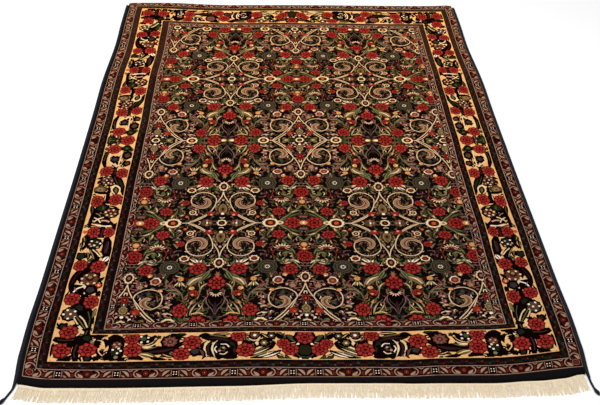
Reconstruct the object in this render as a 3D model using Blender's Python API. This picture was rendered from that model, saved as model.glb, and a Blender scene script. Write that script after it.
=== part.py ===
"""A hand-knotted Persian rug, lying flat, with its overcast sides and its near fringe.

Metres, +Z up, +Y towards the far end, +X to the right. The origin is the middle of the underside.
"""

import math

import bmesh
import bpy

# Driving dimensions, metres.
WIDTH = 1.400  # over the overcast sides
LENGTH = 2.090  # pile, from end to end
THICKNESS = 0.012  # pile and foundation
WALL = 0.0065  # straight part of the edge, below the rounded pile
RIM_RADIUS = 0.006  # rounding of the pile at its edges
UNEVEN = 0.0006  # how far the clipped pile rises and falls
GAP = 0.0003  # between pieces that touch

OVERCAST = 0.008  # width and height of the wrapped cord along each side
TAIL_THICKNESS = 0.0055  # of the cord's loose end
KNOT_THICKNESS = 0.0085
CORD_SIDES = 8

FRINGE_LENGTH = 0.043
FRINGE_MARGIN = 0.003  # from the rug's corner to the first strand
HEADING_DEPTH = 0.005  # flat woven strip that the strands leave
HEADING_THICKNESS = 0.003
STRANDS = 200
STRAND_SHARE = 0.6  # of the pitch that a strand fills at its root
# A strand's sections. Columns: reach along it, share of its root's width, height off the floor.
STRAND_SECTIONS = ((0.5, 0.90, 0.0026), (1.0, 0.72, 0.0018))

STATION = 0.055  # spacing of the surface's steps
EDGE_STEPS = (0.0, 0.0009, 0.0028, 0.0060, 0.018, 0.040, 0.066)  # the closer steps beside an edge

HALF_WIDTH = WIDTH / 2
HALF_LENGTH = LENGTH / 2
PILE_HALF_WIDTH = HALF_WIDTH - OVERCAST - GAP

# The two loose tails, from the rug's near corner: sideways, along the rug and how thick.
# Columns: out, along, thickness.
LEFT_TAIL = (
    (0.001, -0.006, 0.0072),
    (0.003, -0.018, TAIL_THICKNESS),
    (0.008, -0.031, TAIL_THICKNESS),
    (0.013, -0.043, TAIL_THICKNESS),
    (0.017, -0.051, KNOT_THICKNESS),
    (0.020, -0.057, KNOT_THICKNESS),
    (0.022, -0.061, 0.0040),
)
RIGHT_TAIL = (
    (0.001, -0.006, 0.0072),
    (0.001, -0.018, TAIL_THICKNESS),
    (0.002, -0.031, TAIL_THICKNESS),
    (0.004, -0.044, TAIL_THICKNESS),
    (0.006, -0.054, KNOT_THICKNESS),
    (0.009, -0.060, KNOT_THICKNESS),
    (0.011, -0.065, 0.0040),
)

# Where the sides swell and draw in. Columns: along, reach, out.
SIDE_WAVES = (
    (0.68, 0.13, -0.0045),
    (0.38, 0.14, 0.0035),
    (-0.20, 0.20, -0.0010),
    (-0.85, 0.09, 0.0030),
)
NEAR_DRAW = 0.006  # how far the sides draw in at the near corners
NEAR_DRAW_RUN = 0.080

# How the ends bow and skew. Columns: end (-1 near, 1 far), start across, run across, along.
END_WAVES = (
    (-1, -0.10, -0.40, -0.007),
    (-1, -0.62, -0.08, 0.012),
    (-1, 0.45, 0.27, 0.034),
    (1, -0.25, -0.30, 0.024),
    (1, 0.10, 0.45, -0.010),
    (1, 0.60, 0.10, 0.008),
)
END_WAVE_START = 0.42  # from the middle of the rug, where the skew begins
END_WAVE_RUN = 0.45
FAR_CORNER_DRAW = 0.012  # how far the worn far corners draw back
FAR_CORNER_ACROSS = 0.025
FAR_CORNER_ALONG = 0.045


def ease(value):
    """0 below 0, 1 above 1, smooth between."""
    value = min(1.0, max(0.0, value))
    return value * value * (3 - 2 * value)


def lie(x, y):
    """Where a point of the woven rectangle comes to lie on the floor."""
    out = sum(wave * math.exp(-(((y - along) / reach) ** 2)) for along, reach, wave in SIDE_WAVES)
    out -= NEAR_DRAW * ease((NEAR_DRAW_RUN - HALF_LENGTH - y) / NEAR_DRAW_RUN)
    moved = 0.0
    for end, start, run, along in END_WAVES:
        moved += along * ease((x - start) / run) * ease((end * y - END_WAVE_START) / END_WAVE_RUN)
    beside = ease(1 - (HALF_WIDTH - abs(x)) / FAR_CORNER_ACROSS)
    moved -= FAR_CORNER_DRAW * beside * ease(1 - (HALF_LENGTH - y) / FAR_CORNER_ALONG)
    return x + out * (x / HALF_WIDTH) * abs(x / HALF_WIDTH), y + moved


def stations(half):
    """Steps from one edge to the other, close together beside the edges."""
    inner = half - EDGE_STEPS[-1]
    count = round(2 * inner / STATION)
    middle = [-inner + 2 * inner * i / count for i in range(count + 1)]
    edge = [half - step for step in EDGE_STEPS[:-1]]
    return [-place for place in edge] + middle + edge[::-1]


ACROSS = stations(PILE_HALF_WIDTH)
ALONG = stations(HALF_LENGTH)


def make_object(name, points, faces, colour, roughness):
    """One closed piece, with a material of its own."""
    mesh = bpy.data.meshes.new(name)
    mesh.from_pydata(points, [], faces)
    cleaner = bmesh.new()
    cleaner.from_mesh(mesh)
    bmesh.ops.recalc_face_normals(cleaner, faces=cleaner.faces)
    cleaner.to_mesh(mesh)
    cleaner.free()
    mesh.shade_smooth()
    mesh.set_sharp_from_angle(angle=math.radians(40))
    material = bpy.data.materials.new(name + "_yarn")
    material.use_nodes = True
    shader = material.node_tree.nodes["Principled BSDF"]
    shader.inputs["Base Color"].default_value = (*colour, 1)
    shader.inputs["Roughness"].default_value = roughness
    shader.inputs["Metallic"].default_value = 0
    mesh.materials.append(material)
    piece = bpy.data.objects.new(name, mesh)
    bpy.context.collection.objects.link(piece)
    return piece


def pile_height(x, y):
    """Top of the pile over a point of the woven rectangle."""
    inwards = min(PILE_HALF_WIDTH - abs(x), HALF_LENGTH - abs(y), RIM_RADIUS)
    rise = math.sqrt(max(0.0, 1 - (1 - inwards / RIM_RADIUS) ** 2))
    wave = math.sin(9.0 * x + 2.0 * y + 0.6) * math.cos(6.5 * y - 1.5 * x)
    return WALL + (THICKNESS - UNEVEN - WALL + UNEVEN * wave) * rise


def make_rug():
    """Pile and foundation, one solid, flat underneath."""
    columns, rows = len(ACROSS), len(ALONG)
    top = [(*lie(x, y), pile_height(x, y)) for y in ALONG for x in ACROSS]
    faces = []
    for row in range(rows - 1):
        for column in range(columns - 1):
            first = row * columns + column
            faces.append((first, first + 1, first + columns + 1, first + columns))
    rim = list(range(columns - 1))
    rim += [row * columns + columns - 1 for row in range(rows - 1)]
    rim += [(rows - 1) * columns + column for column in range(columns - 1, 0, -1)]
    rim += [row * columns for row in range(rows - 1, 0, -1)]
    points = top + [(top[i][0], top[i][1], 0.0) for i in rim]
    for place in range(len(rim)):
        after = (place + 1) % len(rim)
        faces.append((rim[place], len(top) + place, len(top) + after, rim[after]))
    faces.append(tuple(len(top) + place for place in range(len(rim))))
    return make_object("rug", points, faces, (0.05, 0.02, 0.02), 0.95)


def cord_mesh(route):
    """Points and faces of a cord that lies on the floor: route of (x, y, width, height)."""
    points, faces = [], []
    last = len(route) - 1
    for i, (x, y, width, height) in enumerate(route):
        before, after = route[max(0, i - 1)], route[min(last, i + 1)]
        run_x, run_y = after[0] - before[0], after[1] - before[1]
        run = math.hypot(run_x, run_y)
        for side in range(CORD_SIDES):
            angle = 2 * math.pi * (side + 0.5) / CORD_SIDES
            sideways = math.cos(angle) / math.cos(math.pi / CORD_SIDES) * width / 2
            upwards = math.sin(angle) / math.cos(math.pi / CORD_SIDES) * height / 2
            points.append((x - sideways * run_y / run, y + sideways * run_x / run, height / 2 + upwards))
    for i in range(last):
        for side in range(CORD_SIDES):
            after = (side + 1) % CORD_SIDES
            first, second = i * CORD_SIDES, (i + 1) * CORD_SIDES
            faces.append((first + side, first + after, second + after, second + side))
    faces.append(tuple(range(CORD_SIDES)))
    faces.append(tuple(last * CORD_SIDES + side for side in range(CORD_SIDES)))
    return points, faces


def rounded(route):
    """The route with one more point between each two, on a smooth curve through them all."""
    finer = [route[0]]
    for i in range(1, len(route)):
        start, end = route[i - 1], route[i]
        before, after = route[max(0, i - 2)], route[min(len(route) - 1, i + 1)]
        halfway = [(9 * (b + c) - a - d) / 16 for a, b, c, d in zip(before, start, end, after)]
        finer += [tuple(halfway), end]
    return finer


def make_overcast_side(name, hand, tail):
    """The wrapped cord along a side, which runs on past the near corner as a knotted tail."""
    middle = HALF_WIDTH - OVERCAST / 2
    run = [y for y in ALONG if -HALF_LENGTH + 0.004 < y < HALF_LENGTH - 0.004]
    route = []
    for y in sorted(run, reverse=True):
        width = OVERCAST if route else OVERCAST * 0.7
        route.append((*lie(hand * middle, y), width, width))
    corner_x, corner_y = lie(hand * middle, -HALF_LENGTH)
    loose = [(corner_x + hand * out, corner_y + along, size, size) for out, along, size in tail]
    route += rounded(route[-2:] + loose)[3:]
    return make_object(name, *cord_mesh(route), (0.012, 0.012, 0.022), 0.9)


def near_edge(corners, x):
    """How far along the near edge lies at x, on the straight runs between its corners."""
    for (x0, y0), (x1, y1) in zip(corners, corners[1:]):
        if x <= x1:
            return y0 + (y1 - y0) * (x - x0) / (x1 - x0)
    return corners[-1][1]


def strand_shape(strand, side):
    """Length and sideways lean of a strand; side runs from -1 at the left corner to 1 at the right."""
    length = FRINGE_LENGTH + 0.0015 * math.sin(2.4 * strand) + 0.006 * ease((side - 0.7) / 0.3)
    splay = 0.004 * side**3 - 0.005 * ease((-side - 0.9) / 0.1)
    return length, splay


def make_fringe():
    """Warp ends of the near end: a narrow woven heading and the strands that leave it."""
    corners = [lie(x, -HALF_LENGTH) for x in ACROSS]
    half = corners[-1][0] - FRINGE_MARGIN
    pitch = 2 * half / STRANDS
    thick = pitch * STRAND_SHARE
    places = [-half]
    for strand in range(STRANDS):
        start = -half + pitch * strand + (pitch - thick) / 2
        places += [start, start + thick]
    places.append(half)
    points, faces = [], []
    for x in places:
        back = near_edge(corners, x) - GAP
        front = back - HEADING_DEPTH
        points += [(x, back, 0.0), (x, back, HEADING_THICKNESS)]
        points += [(x, front, HEADING_THICKNESS), (x, front, 0.0)]
    for cell in range(len(places) - 1):
        a, b = 4 * cell, 4 * (cell + 1)
        faces += [(a, a + 1, b + 1, b), (a + 1, a + 2, b + 2, b + 1), (a + 3, a, b, b + 3)]
        if cell % 2 == 0:
            faces.append((a + 2, a + 3, b + 3, b + 2))
            continue
        strand = (cell - 1) // 2
        root = (places[cell] + places[cell + 1]) / 2
        length, splay = strand_shape(strand, root / half)
        ring = [a + 3, b + 3, b + 2, a + 2]
        for reach, share, height in STRAND_SECTIONS:
            middle = root + splay * reach + 0.0007 * reach * math.sin(1.9 * strand + 2.5 * reach)
            y = near_edge(corners, root) - GAP - HEADING_DEPTH - (length - HEADING_DEPTH) * reach
            left, right = middle - thick * share / 2, middle + thick * share / 2
            fresh = list(range(len(points), len(points) + 4))
            points += [(left, y, 0.0), (right, y, 0.0), (right, y, height), (left, y, height)]
            faces += [(ring[i], ring[(i + 1) % 4], fresh[(i + 1) % 4], fresh[i]) for i in range(4)]
            ring = fresh
        faces.append(tuple(ring))
    last = 4 * (len(places) - 1)
    faces += [(0, 1, 2, 3), (last, last + 1, last + 2, last + 3)]
    return make_object("fringe_near", points, faces, (0.80, 0.70, 0.52), 0.9)


for old in list(bpy.data.objects):
    bpy.data.objects.remove(old, do_unlink=True)

make_rug()
make_overcast_side("overcast_left", -1, LEFT_TAIL)
make_overcast_side("overcast_right", 1, RIGHT_TAIL)
make_fringe()
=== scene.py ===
"""A hand-knotted Persian rug on a pale floor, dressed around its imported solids. Metres, +Z up.

The rug's own frame: origin in the middle of the underside, +Y towards the far end, +X to the right.
Patterns are charted in millimetres on the woven rectangle, before it lies down on the floor.
"""

import math
import random

import bpy
import numpy as np
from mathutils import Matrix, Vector
from mathutils.geometry import delaunay_2d_cdt


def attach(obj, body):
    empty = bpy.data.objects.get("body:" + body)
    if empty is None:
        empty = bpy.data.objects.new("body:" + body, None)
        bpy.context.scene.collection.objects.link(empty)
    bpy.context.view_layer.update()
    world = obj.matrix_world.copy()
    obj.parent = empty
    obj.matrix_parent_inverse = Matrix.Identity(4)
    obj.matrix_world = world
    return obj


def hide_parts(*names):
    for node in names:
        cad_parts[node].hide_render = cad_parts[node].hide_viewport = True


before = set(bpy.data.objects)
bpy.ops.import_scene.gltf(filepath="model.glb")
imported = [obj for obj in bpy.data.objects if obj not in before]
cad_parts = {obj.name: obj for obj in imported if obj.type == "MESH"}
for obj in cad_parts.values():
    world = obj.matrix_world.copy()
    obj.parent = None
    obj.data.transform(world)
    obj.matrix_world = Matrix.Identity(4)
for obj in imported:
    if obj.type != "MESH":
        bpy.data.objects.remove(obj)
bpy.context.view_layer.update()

for item in bpy.context.selected_objects:
    item.select_set(False)


# ---------------------------------------------------------------- the view
# The photograph looks down on the rug from its near end, a little left of its middle, with a
# normal lens. The picture is 600 by 405 pixels, and the lens axis lies 27 pixels left of its middle.

PICTURE_WIDTH = 600
LENS_PIXELS = 874  # focal length in pixels of the picture
SENSOR_WIDTH = 36  # mm
AXIS_LEFT = 27
CAMERA_PLACE = (-0.072, -2.444, 1.630)
CAMERA_DOWN = 37.64  # degrees below level

camera_data = bpy.data.cameras.new("camera")
camera_data.sensor_width = SENSOR_WIDTH
camera_data.lens = SENSOR_WIDTH * LENS_PIXELS / PICTURE_WIDTH
camera_data.shift_x = AXIS_LEFT / PICTURE_WIDTH
camera_data.clip_start = 0.05
camera = bpy.data.objects.new("camera", camera_data)
camera.location = CAMERA_PLACE
camera.rotation_euler = (math.radians(90 - CAMERA_DOWN), 0, 0)
bpy.context.collection.objects.link(camera)
bpy.context.scene.camera = camera
bpy.context.scene.view_settings.view_transform = "Standard"


# ---------------------------------------------------------------- the woven back
# Cotton warps and wefts with the backs of the knots, under the whole rug. Woven on an upright loom
# as one rectangle; it now lies with bowed ends and sides that swell and draw in.

WIDTH = 1.400  # over the overcast sides
LENGTH = 2.090  # pile, from end to end
THICKNESS = 0.012
WALL = 0.0065  # straight part of the edge, below the rounded pile
RIM_RADIUS = 0.006
UNEVEN = 0.0006  # how far the clipped pile dips
GAP = 0.0003  # between the rug and what lies beside it
OVERCAST = 0.008  # width kept for each overcast side
BACK = 0.001  # thickness of the flat back, below the standing pile
BACK_INSET = 0.002

HALF_WIDTH = WIDTH / 2
HALF_LENGTH = LENGTH / 2
PILE_HALF_WIDTH = HALF_WIDTH - OVERCAST - GAP

# Where the sides swell and draw in. Columns: along, reach, out.
SIDE_WAVES = (
    (0.68, 0.13, -0.0045),
    (0.38, 0.14, 0.0035),
    (-0.20, 0.20, -0.0010),
    (-0.85, 0.09, 0.0030),
)
NEAR_DRAW = 0.006  # how far the near corners draw in
NEAR_DRAW_RUN = 0.080
# How the ends bow and skew. Columns: end (-1 near, 1 far), start across, run across, along.
END_WAVES = (
    (-1, -0.10, -0.40, -0.007),
    (-1, -0.62, -0.08, 0.012),
    (-1, 0.24, 0.10, 0.006),
    (-1, 0.45, 0.27, 0.028),
    (1, -0.25, -0.30, 0.024),
    (1, 0.10, 0.45, -0.010),
    (1, 0.60, 0.10, 0.008),
)
END_WAVE_START = 0.42  # from the middle of the rug, where the skew begins
END_WAVE_RUN = 0.45
# The plain edge past the near guard is wider in places. Columns: start across, run across, along.
NEAR_EDGE = 1.030
NEAR_EDGE_RUN = 0.014
NEAR_EDGE_WAVES = (
    (0.03, -0.20, -0.008),
    (0.22, 0.12, -0.006),
    (0.52, 0.08, -0.006),
    (0.64, 0.04, 0.007),
)
FAR_CORNER_DRAW = 0.012  # how far the worn far corners draw back
FAR_CORNER_ACROSS = 0.025
FAR_CORNER_ALONG = 0.045


def ease(value):
    """0 below 0, 1 above 1, smooth between."""
    value = np.clip(value, 0.0, 1.0)
    return value * value * (3 - 2 * value)


def lie(x, y):
    """Where a point of the woven rectangle comes to lie on the floor."""
    out = sum(wave * np.exp(-(((y - along) / reach) ** 2)) for along, reach, wave in SIDE_WAVES)
    out = out - NEAR_DRAW * ease((NEAR_DRAW_RUN - HALF_LENGTH - y) / NEAR_DRAW_RUN)
    moved = 0.0
    for end, start, run, along in END_WAVES:
        moved = moved + along * ease((x - start) / run) * ease((end * y - END_WAVE_START) / END_WAVE_RUN)
    for start, run, along in NEAR_EDGE_WAVES:
        moved = moved + along * ease((x - start) / run) * ease((-y - NEAR_EDGE) / NEAR_EDGE_RUN)
    beside = ease(1 - (HALF_WIDTH - abs(x)) / FAR_CORNER_ACROSS)
    moved = moved - FAR_CORNER_DRAW * beside * ease(1 - (HALF_LENGTH - y) / FAR_CORNER_ALONG)
    return x + out * (x / HALF_WIDTH) * abs(x / HALF_WIDTH), y + moved


def linear(code):
    """A linear colour from an sRGB hex code such as #b8232f."""
    channels = []
    for start in (1, 3, 5):
        value = int(code[start : start + 2], 16) / 255
        channels.append(value / 12.92 if value <= 0.04045 else ((value + 0.055) / 1.055) ** 2.4)
    return (*channels, 1.0)


def add(tree, kind, settings=(), links=()):
    """Adds a node: settings of its own or of its sockets, and links from sockets to its inputs."""
    node = tree.nodes.new(kind)
    for name, value in dict(settings).items():
        if isinstance(name, int) or name in node.inputs:
            node.inputs[name].default_value = value
        else:
            setattr(node, name, value)
    for name, source in dict(links).items():
        tree.links.new(source, node.inputs[name])
    return node


def new_material(name):
    """A material with an empty tree: the tree, and its output node."""
    material = bpy.data.materials.new(name)
    material.use_nodes = True
    material.node_tree.nodes.clear()
    output = material.node_tree.nodes.new("ShaderNodeOutputMaterial")
    return material, material.node_tree, output


def between(tree, dark, light, share):
    """A colour from one sRGB code to another, by the share of a node's output."""
    settings = {"data_type": "RGBA", 6: linear(dark), 7: linear(light)}
    return add(tree, "ShaderNodeMix", settings, {0: share}).outputs[2]


def finish_material(tree, output, settings, colour, bump):
    """The material's shader, with its colour and its relief."""
    links = {"Base Color": colour, "Normal": bump.outputs["Normal"]}
    shader = add(tree, "ShaderNodeBsdfPrincipled", settings, links)
    tree.links.new(shader.outputs[0], output.inputs[0])


def make_piece(name, points, faces, material, stands_for, sharp=40):
    """A finished piece from mesh data: shaded, riding on the rug and standing for a solid."""
    mesh = bpy.data.meshes.new(name)
    mesh.from_pydata(points, [], faces)
    mesh.shade_smooth()
    mesh.set_sharp_from_angle(angle=math.radians(sharp))
    mesh.materials.append(material)
    piece = bpy.data.objects.new(name, mesh)
    bpy.context.collection.objects.link(piece)
    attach(piece, "root")
    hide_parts(stands_for)
    return piece


# Undyed cotton weft seen between the knots' backs: a dull grey-brown with a fine rib.
back_cotton, tree, output = new_material("cotton_back")
place = add(tree, "ShaderNodeTexCoord").outputs["Object"]
ribbing = {"bands_direction": "Y", "Scale": 140, "Distortion": 1.5}
rib = add(tree, "ShaderNodeTexWave", ribbing, {"Vector": place}).outputs["Fac"]
shade = between(tree, "#2a2224", "#4d4038", rib)
bump = add(tree, "ShaderNodeBump", {"Strength": 0.5, "Distance": 0.0004}, {"Height": rib})
finish_material(tree, output, {"Roughness": 0.95, "IOR": 1.53}, shade, bump)

BACK_STEPS = 40
along_edge = np.linspace(-1, 1, BACK_STEPS + 1)[:-1]
half_x, half_y = PILE_HALF_WIDTH - BACK_INSET, HALF_LENGTH - BACK_INSET
corner_run = [(half_x * step, -half_y) for step in along_edge]
corner_run += [(half_x, half_y * step) for step in along_edge]
corner_run += [(-half_x * step, half_y) for step in along_edge]
corner_run += [(-half_x, -half_y * step) for step in along_edge]
laid = [lie(x, y) for x, y in corner_run]
rim = len(laid)
points = [(x, y, 0.0) for x, y in laid] + [(x, y, BACK) for x, y in laid]
faces = [tuple(range(rim))[::-1], tuple(range(rim, 2 * rim))]
faces += [(i, (i + 1) % rim, rim + (i + 1) % rim, rim + i) for i in range(rim)]
woven_back = make_piece("woven_back", points, faces, back_cotton, "rug")


# ---------------------------------------------------------------- the dyed wool
# The pile is wool yarn knotted round the warps and clipped level. Vegetable dyes: indigo near black,
# madder reds, weld golds and greens; each batch differs a little, which leaves faint bands.

DYES = {
    "navy": "#0e0808",
    "ink": "#141111",
    "night": "#120908",
    "dusk": "#1c110d",
    "umber": "#2e1b14",
    "black": "#0c0302",
    "madder": "#8b241b",
    "crimson": "#3f0a0a",
    "rust": "#6d2012",
    "rose": "#943229",
    "pink": "#c48a70",
    "mauve": "#7c4a40",
    "flame": "#b44a22",
    "orange": "#c08248",
    "gold": "#d9a667",
    "straw": "#cfae82",
    "cream": "#d9bc8a",
    "ivory": "#e6d4b8",
    "tan": "#8d6749",
    "fawn": "#9b7a62",
    "brown": "#593520",
    "maroon": "#33110b",
    "sage": "#7c7048",
    "olive": "#5c4f26",
    "leaf": "#3c4522",
    "bottle": "#1a2010",
    "grey": "#423a28",
    "slate": "#30292a",
    "plum": "#2c1719",
    "lilac": "#765a4e",
}
DYE_NAMES = list(DYES)
DYE_COLOURS = np.array([linear(code) for code in DYES.values()])

KNOT = 2.2  # mm between knots, drawn a little coarser than real so that it shows
ABRASH = 90  # mm from one batch of yarn to the next

# Clipped wool: dull and soft, every knot a slightly different depth of dye, with a low nap, and a painted
# sheen that lightens and warms it towards the far end.
pile_wool, tree, output = new_material("knotted_wool")
dye = add(tree, "ShaderNodeAttribute", {"attribute_name": "dye"})
place = add(tree, "ShaderNodeTexCoord").outputs["Object"]
one_knot = (KNOT / 1000, KNOT / 1000, 1.0)
grid = add(tree, "ShaderNodeVectorMath", {"operation": "SNAP", 1: one_knot}, {0: place})
knot_shade = add(tree, "ShaderNodeTexWhiteNoise", {"noise_dimensions": "3D"}, {"Vector": grid.outputs[0]})
bands = add(tree, "ShaderNodeMapping", {"Scale": (0.6, 1000 / ABRASH, 0.0)}, {"Vector": place})
abrash = add(tree, "ShaderNodeTexNoise", {"Scale": 1.0, "Detail": 2.0}, {"Vector": bands.outputs[0]})
nap = add(tree, "ShaderNodeTexNoise", {"Scale": 900.0, "Detail": 2.0}, {"Vector": place})
knot_range = {"To Min": 0.80, "To Max": 1.20}
knot_depth = add(tree, "ShaderNodeMapRange", knot_range, {"Value": knot_shade.outputs["Value"]}).outputs[0]
band_range = {"To Min": 0.72, "To Max": 1.28}
band_depth = add(tree, "ShaderNodeMapRange", band_range, {"Value": abrash.outputs["Fac"]}).outputs[0]
depth = add(tree, "ShaderNodeMath", {"operation": "MULTIPLY"}, {0: knot_depth, 1: band_depth}).outputs[0]
dyed = {0: dye.outputs["Color"], "Scale": depth}
colour = add(tree, "ShaderNodeVectorMath", {"operation": "SCALE"}, dyed).outputs[0]
# Painted sheen: the dye is multiplied lighter and warmer towards the far end, in place of the light that the
# nap catches when it is seen along its length from the near end.
along = add(tree, "ShaderNodeSeparateXYZ", links={0: place}).outputs["Y"]
far_sheen_share = add(tree, "ShaderNodeMapRange", {"From Min": -0.58, "From Max": 1.0}, {"Value": along})
painted_far_sheen = add(
    tree,
    "ShaderNodeMix",
    {"data_type": "RGBA", "clamp_factor": True, 6: (0.95, 0.95, 1.05, 1.0), 7: (1.55, 1.38, 1.18, 1.0)},
    {0: far_sheen_share.outputs[0]},
)
shades = {0: colour, 1: painted_far_sheen.outputs[2]}
dye_and_painted_sheen = add(tree, "ShaderNodeVectorMath", {"operation": "MULTIPLY"}, shades).outputs[0]
knots = add(tree, "ShaderNodeTexVoronoi", {"Scale": 1000 / KNOT, "Randomness": 0.5}, {"Vector": place})
heights = {0: nap.outputs["Fac"], 1: knots.outputs["Distance"]}
relief = add(tree, "ShaderNodeMath", {"operation": "SUBTRACT"}, heights).outputs[0]
bump = add(tree, "ShaderNodeBump", {"Strength": 0.5, "Distance": 0.0007}, {"Height": relief})
finish_material(tree, output, {"Roughness": 0.95, "IOR": 1.54, "Specular IOR Level": 0.0}, dye_and_painted_sheen, bump)


# ---------------------------------------------------------------- how the pile is knotted
# A chart is a list of (dye, outline) in knotting order, later ones on top, in millimetres. Each
# piece of pile is one closed slab of it, cut along the chart's outlines, as even as shears leave it.

MM = 0.001
CHART_GRAIN = 0.5  # mm that outlines are rounded to, as a weaver rounds them to half a knot
STATION = 40.0  # mm between the surface's own steps
STRAIGHT = 0.06  # mm that a line may lie beside a point of it that is left out
SEAM_STEP = 20.0  # mm between the steps of long straight outlines
LONGEST = 42.0  # mm: longer straight lines wouldn't follow the rug's lie
WELD = 0.02  # mm: chart points this close are one
FINE_WELD = 0.001  # mm, where the kept lines are joined again
UNDER = 0.0008  # where the slabs of pile begin, just inside the back
# Half sizes in mm of the part inside the rounded rim.
FLAT_ACROSS = (PILE_HALF_WIDTH - RIM_RADIUS) / MM - 0.5
FLAT_ALONG = (HALF_LENGTH - RIM_RADIUS) / MM - 0.5
SKIRT_UV = 0.95  # the top of a piece fills its bake map up to here, the rest is for its edges


def pile_height(x, y):
    """Top of the pile over a point of the woven rectangle."""
    inwards = np.minimum(np.minimum(PILE_HALF_WIDTH - abs(x), HALF_LENGTH - abs(y)), RIM_RADIUS)
    rise = np.sqrt(np.maximum(0.0, 1 - (1 - inwards / RIM_RADIUS) ** 2))
    wave = np.sin(9.0 * x + 2.0 * y + 0.6) * np.cos(6.5 * y - 1.5 * x)
    return WALL + (THICKNESS - UNEVEN - WALL + UNEVEN * wave) * rise


def hand_drift(x, y):
    """The weaver's hand: lines wander by up to 2 mm, and hold true at the rug's edges."""
    inwards = np.minimum(PILE_HALF_WIDTH - abs(x), HALF_LENGTH - abs(y))
    free = ease((inwards - 0.006) / 0.05)
    across = 0.0009 * np.sin(11 * y + 0.7) + 0.0007 * np.sin(27 * y + 3 * x)
    along = 0.0012 * np.sin(8 * x + 1.9) + 0.0008 * np.sin(23 * x - 4 * y)
    return x + across * free, y + along * free


def stepped(outline):
    """The closed outline with steps along its long straight runs, so that it can bend with the rug."""
    finer = []
    for (x0, y0), (x1, y1) in zip(outline, outline[1:] + outline[:1]):
        steps = max(1, round(math.hypot(x1 - x0, y1 - y0) / SEAM_STEP))
        finer += [(x0 + (x1 - x0) * i / steps, y0 + (y1 - y0) * i / steps) for i in range(steps)]
    return finer


def spilled(woven, shapes):
    """Patches whose dye ran past their outline in the triangulation: they are left out."""
    flat = np.array([tuple(point) for point in woven[0]])
    corners = flat[np.array(woven[2])]
    sides = corners[:, 1:] - corners[:, :1]
    areas = abs(sides[:, 0, 0] * sides[:, 1, 1] - sides[:, 0, 1] * sides[:, 1, 0]) / 2
    owners = np.array([patch for origin in woven[5] for patch in origin])
    counts = [len(origin) for origin in woven[5]]
    covered = np.bincount(owners, np.repeat(areas, counts), len(shapes))
    spill = set()
    for patch, shape in enumerate(shapes):
        width, height = np.ptp(np.array([tuple(point) for point in shape]), axis=0)
        if covered[patch] > 1.01 * width * height + 1.0:
            spill.add(patch)
    return spill


def shown_lines(flat, faces, dyes):
    """The lines between two dyes or at the edge, as {(start, end): dye on the left}, both ways."""
    starts, ends = faces.ravel(), np.roll(faces, -1, axis=1).ravel()
    left = dict(zip(zip(starts.tolist(), ends.tolist()), dyes.repeat(3).tolist()))
    in_rim = ((abs(flat) > (FLAT_ACROSS, FLAT_ALONG)).any(axis=1)).tolist()
    shown = {}
    for (start, end), dye in left.items():
        other = left.get((end, start), -1)
        if dye != other or in_rim[start] and in_rim[end]:
            shown[start, end] = dye
            shown[end, start] = other
    meeting = {}
    for start, end in shown:
        meeting.setdefault(start, []).append(end)
    places = flat.tolist()
    for point in list(meeting):
        if len(meeting[point]) != 2 or in_rim[point]:
            continue
        before, after = meeting[point]
        if -1 in (shown[before, point], shown[point, before]) or after in meeting[before]:
            continue
        (x, y), (x0, y0), (x1, y1) = places[point], places[before], places[after]
        length = math.hypot(x1 - x0, y1 - y0)
        if length > LONGEST or abs((x - x0) * (y1 - y0) - (y - y0) * (x1 - x0)) > STRAIGHT * length:
            continue
        shown[before, after], shown[after, before] = shown[before, point], shown[point, before]
        for end in (before, after):
            del shown[end, point], shown[point, end]
            meeting[end].remove(point)
        meeting[before].append(after)
        meeting[after].append(before)
    return shown


def joined(flat, faces, dyes, stations):
    """The same pattern in fewer triangles: only the lines that show are kept, and the stations."""
    shown = shown_lines(flat, faces, dyes)
    lines = [(start, end) for start, end in shown if start < end]
    used = sorted({point for line in lines for point in line})
    number = {point: i for i, point in enumerate(used)}
    points = [Vector(place) for place in flat[used].tolist()] + stations
    again = delaunay_2d_cdt(points, [(number[a], number[b]) for a, b in lines], [], 1, FINE_WELD, True)
    places = [tuple(place) for place in again[0]]
    left = {}
    for (a, b), origin in zip(again[1], again[4]):
        if origin:
            start, end = lines[origin[0]]
            run_x, run_y = flat[end] - flat[start]
            same_way = (places[b][0] - places[a][0]) * run_x + (places[b][1] - places[a][1]) * run_y > 0
            first, second = shown[start, end], shown[end, start]
            left[a, b], left[b, a] = (first, second) if same_way else (second, first)
    beside = {}
    found = [None] * len(again[2])
    for i, (a, b, c) in enumerate(again[2]):
        for line in ((a, b), (b, c), (c, a)):
            beside[line] = i
            found[i] = left.get(line, found[i])
    front = [i for i, dye in enumerate(found) if dye is not None]
    while front:
        i = front.pop()
        a, b, c = again[2][i]
        for start, end in ((a, b), (b, c), (c, a)):
            other = beside.get((end, start))
            if other is not None and found[other] is None and (start, end) not in left:
                found[other] = found[i]
                front.append(other)
    found = np.array(found)
    used, faces = np.unique(np.array(again[2])[found >= 0], return_inverse=True)
    return np.array(places)[used], faces.reshape(-1, 3), found[found >= 0]


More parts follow.
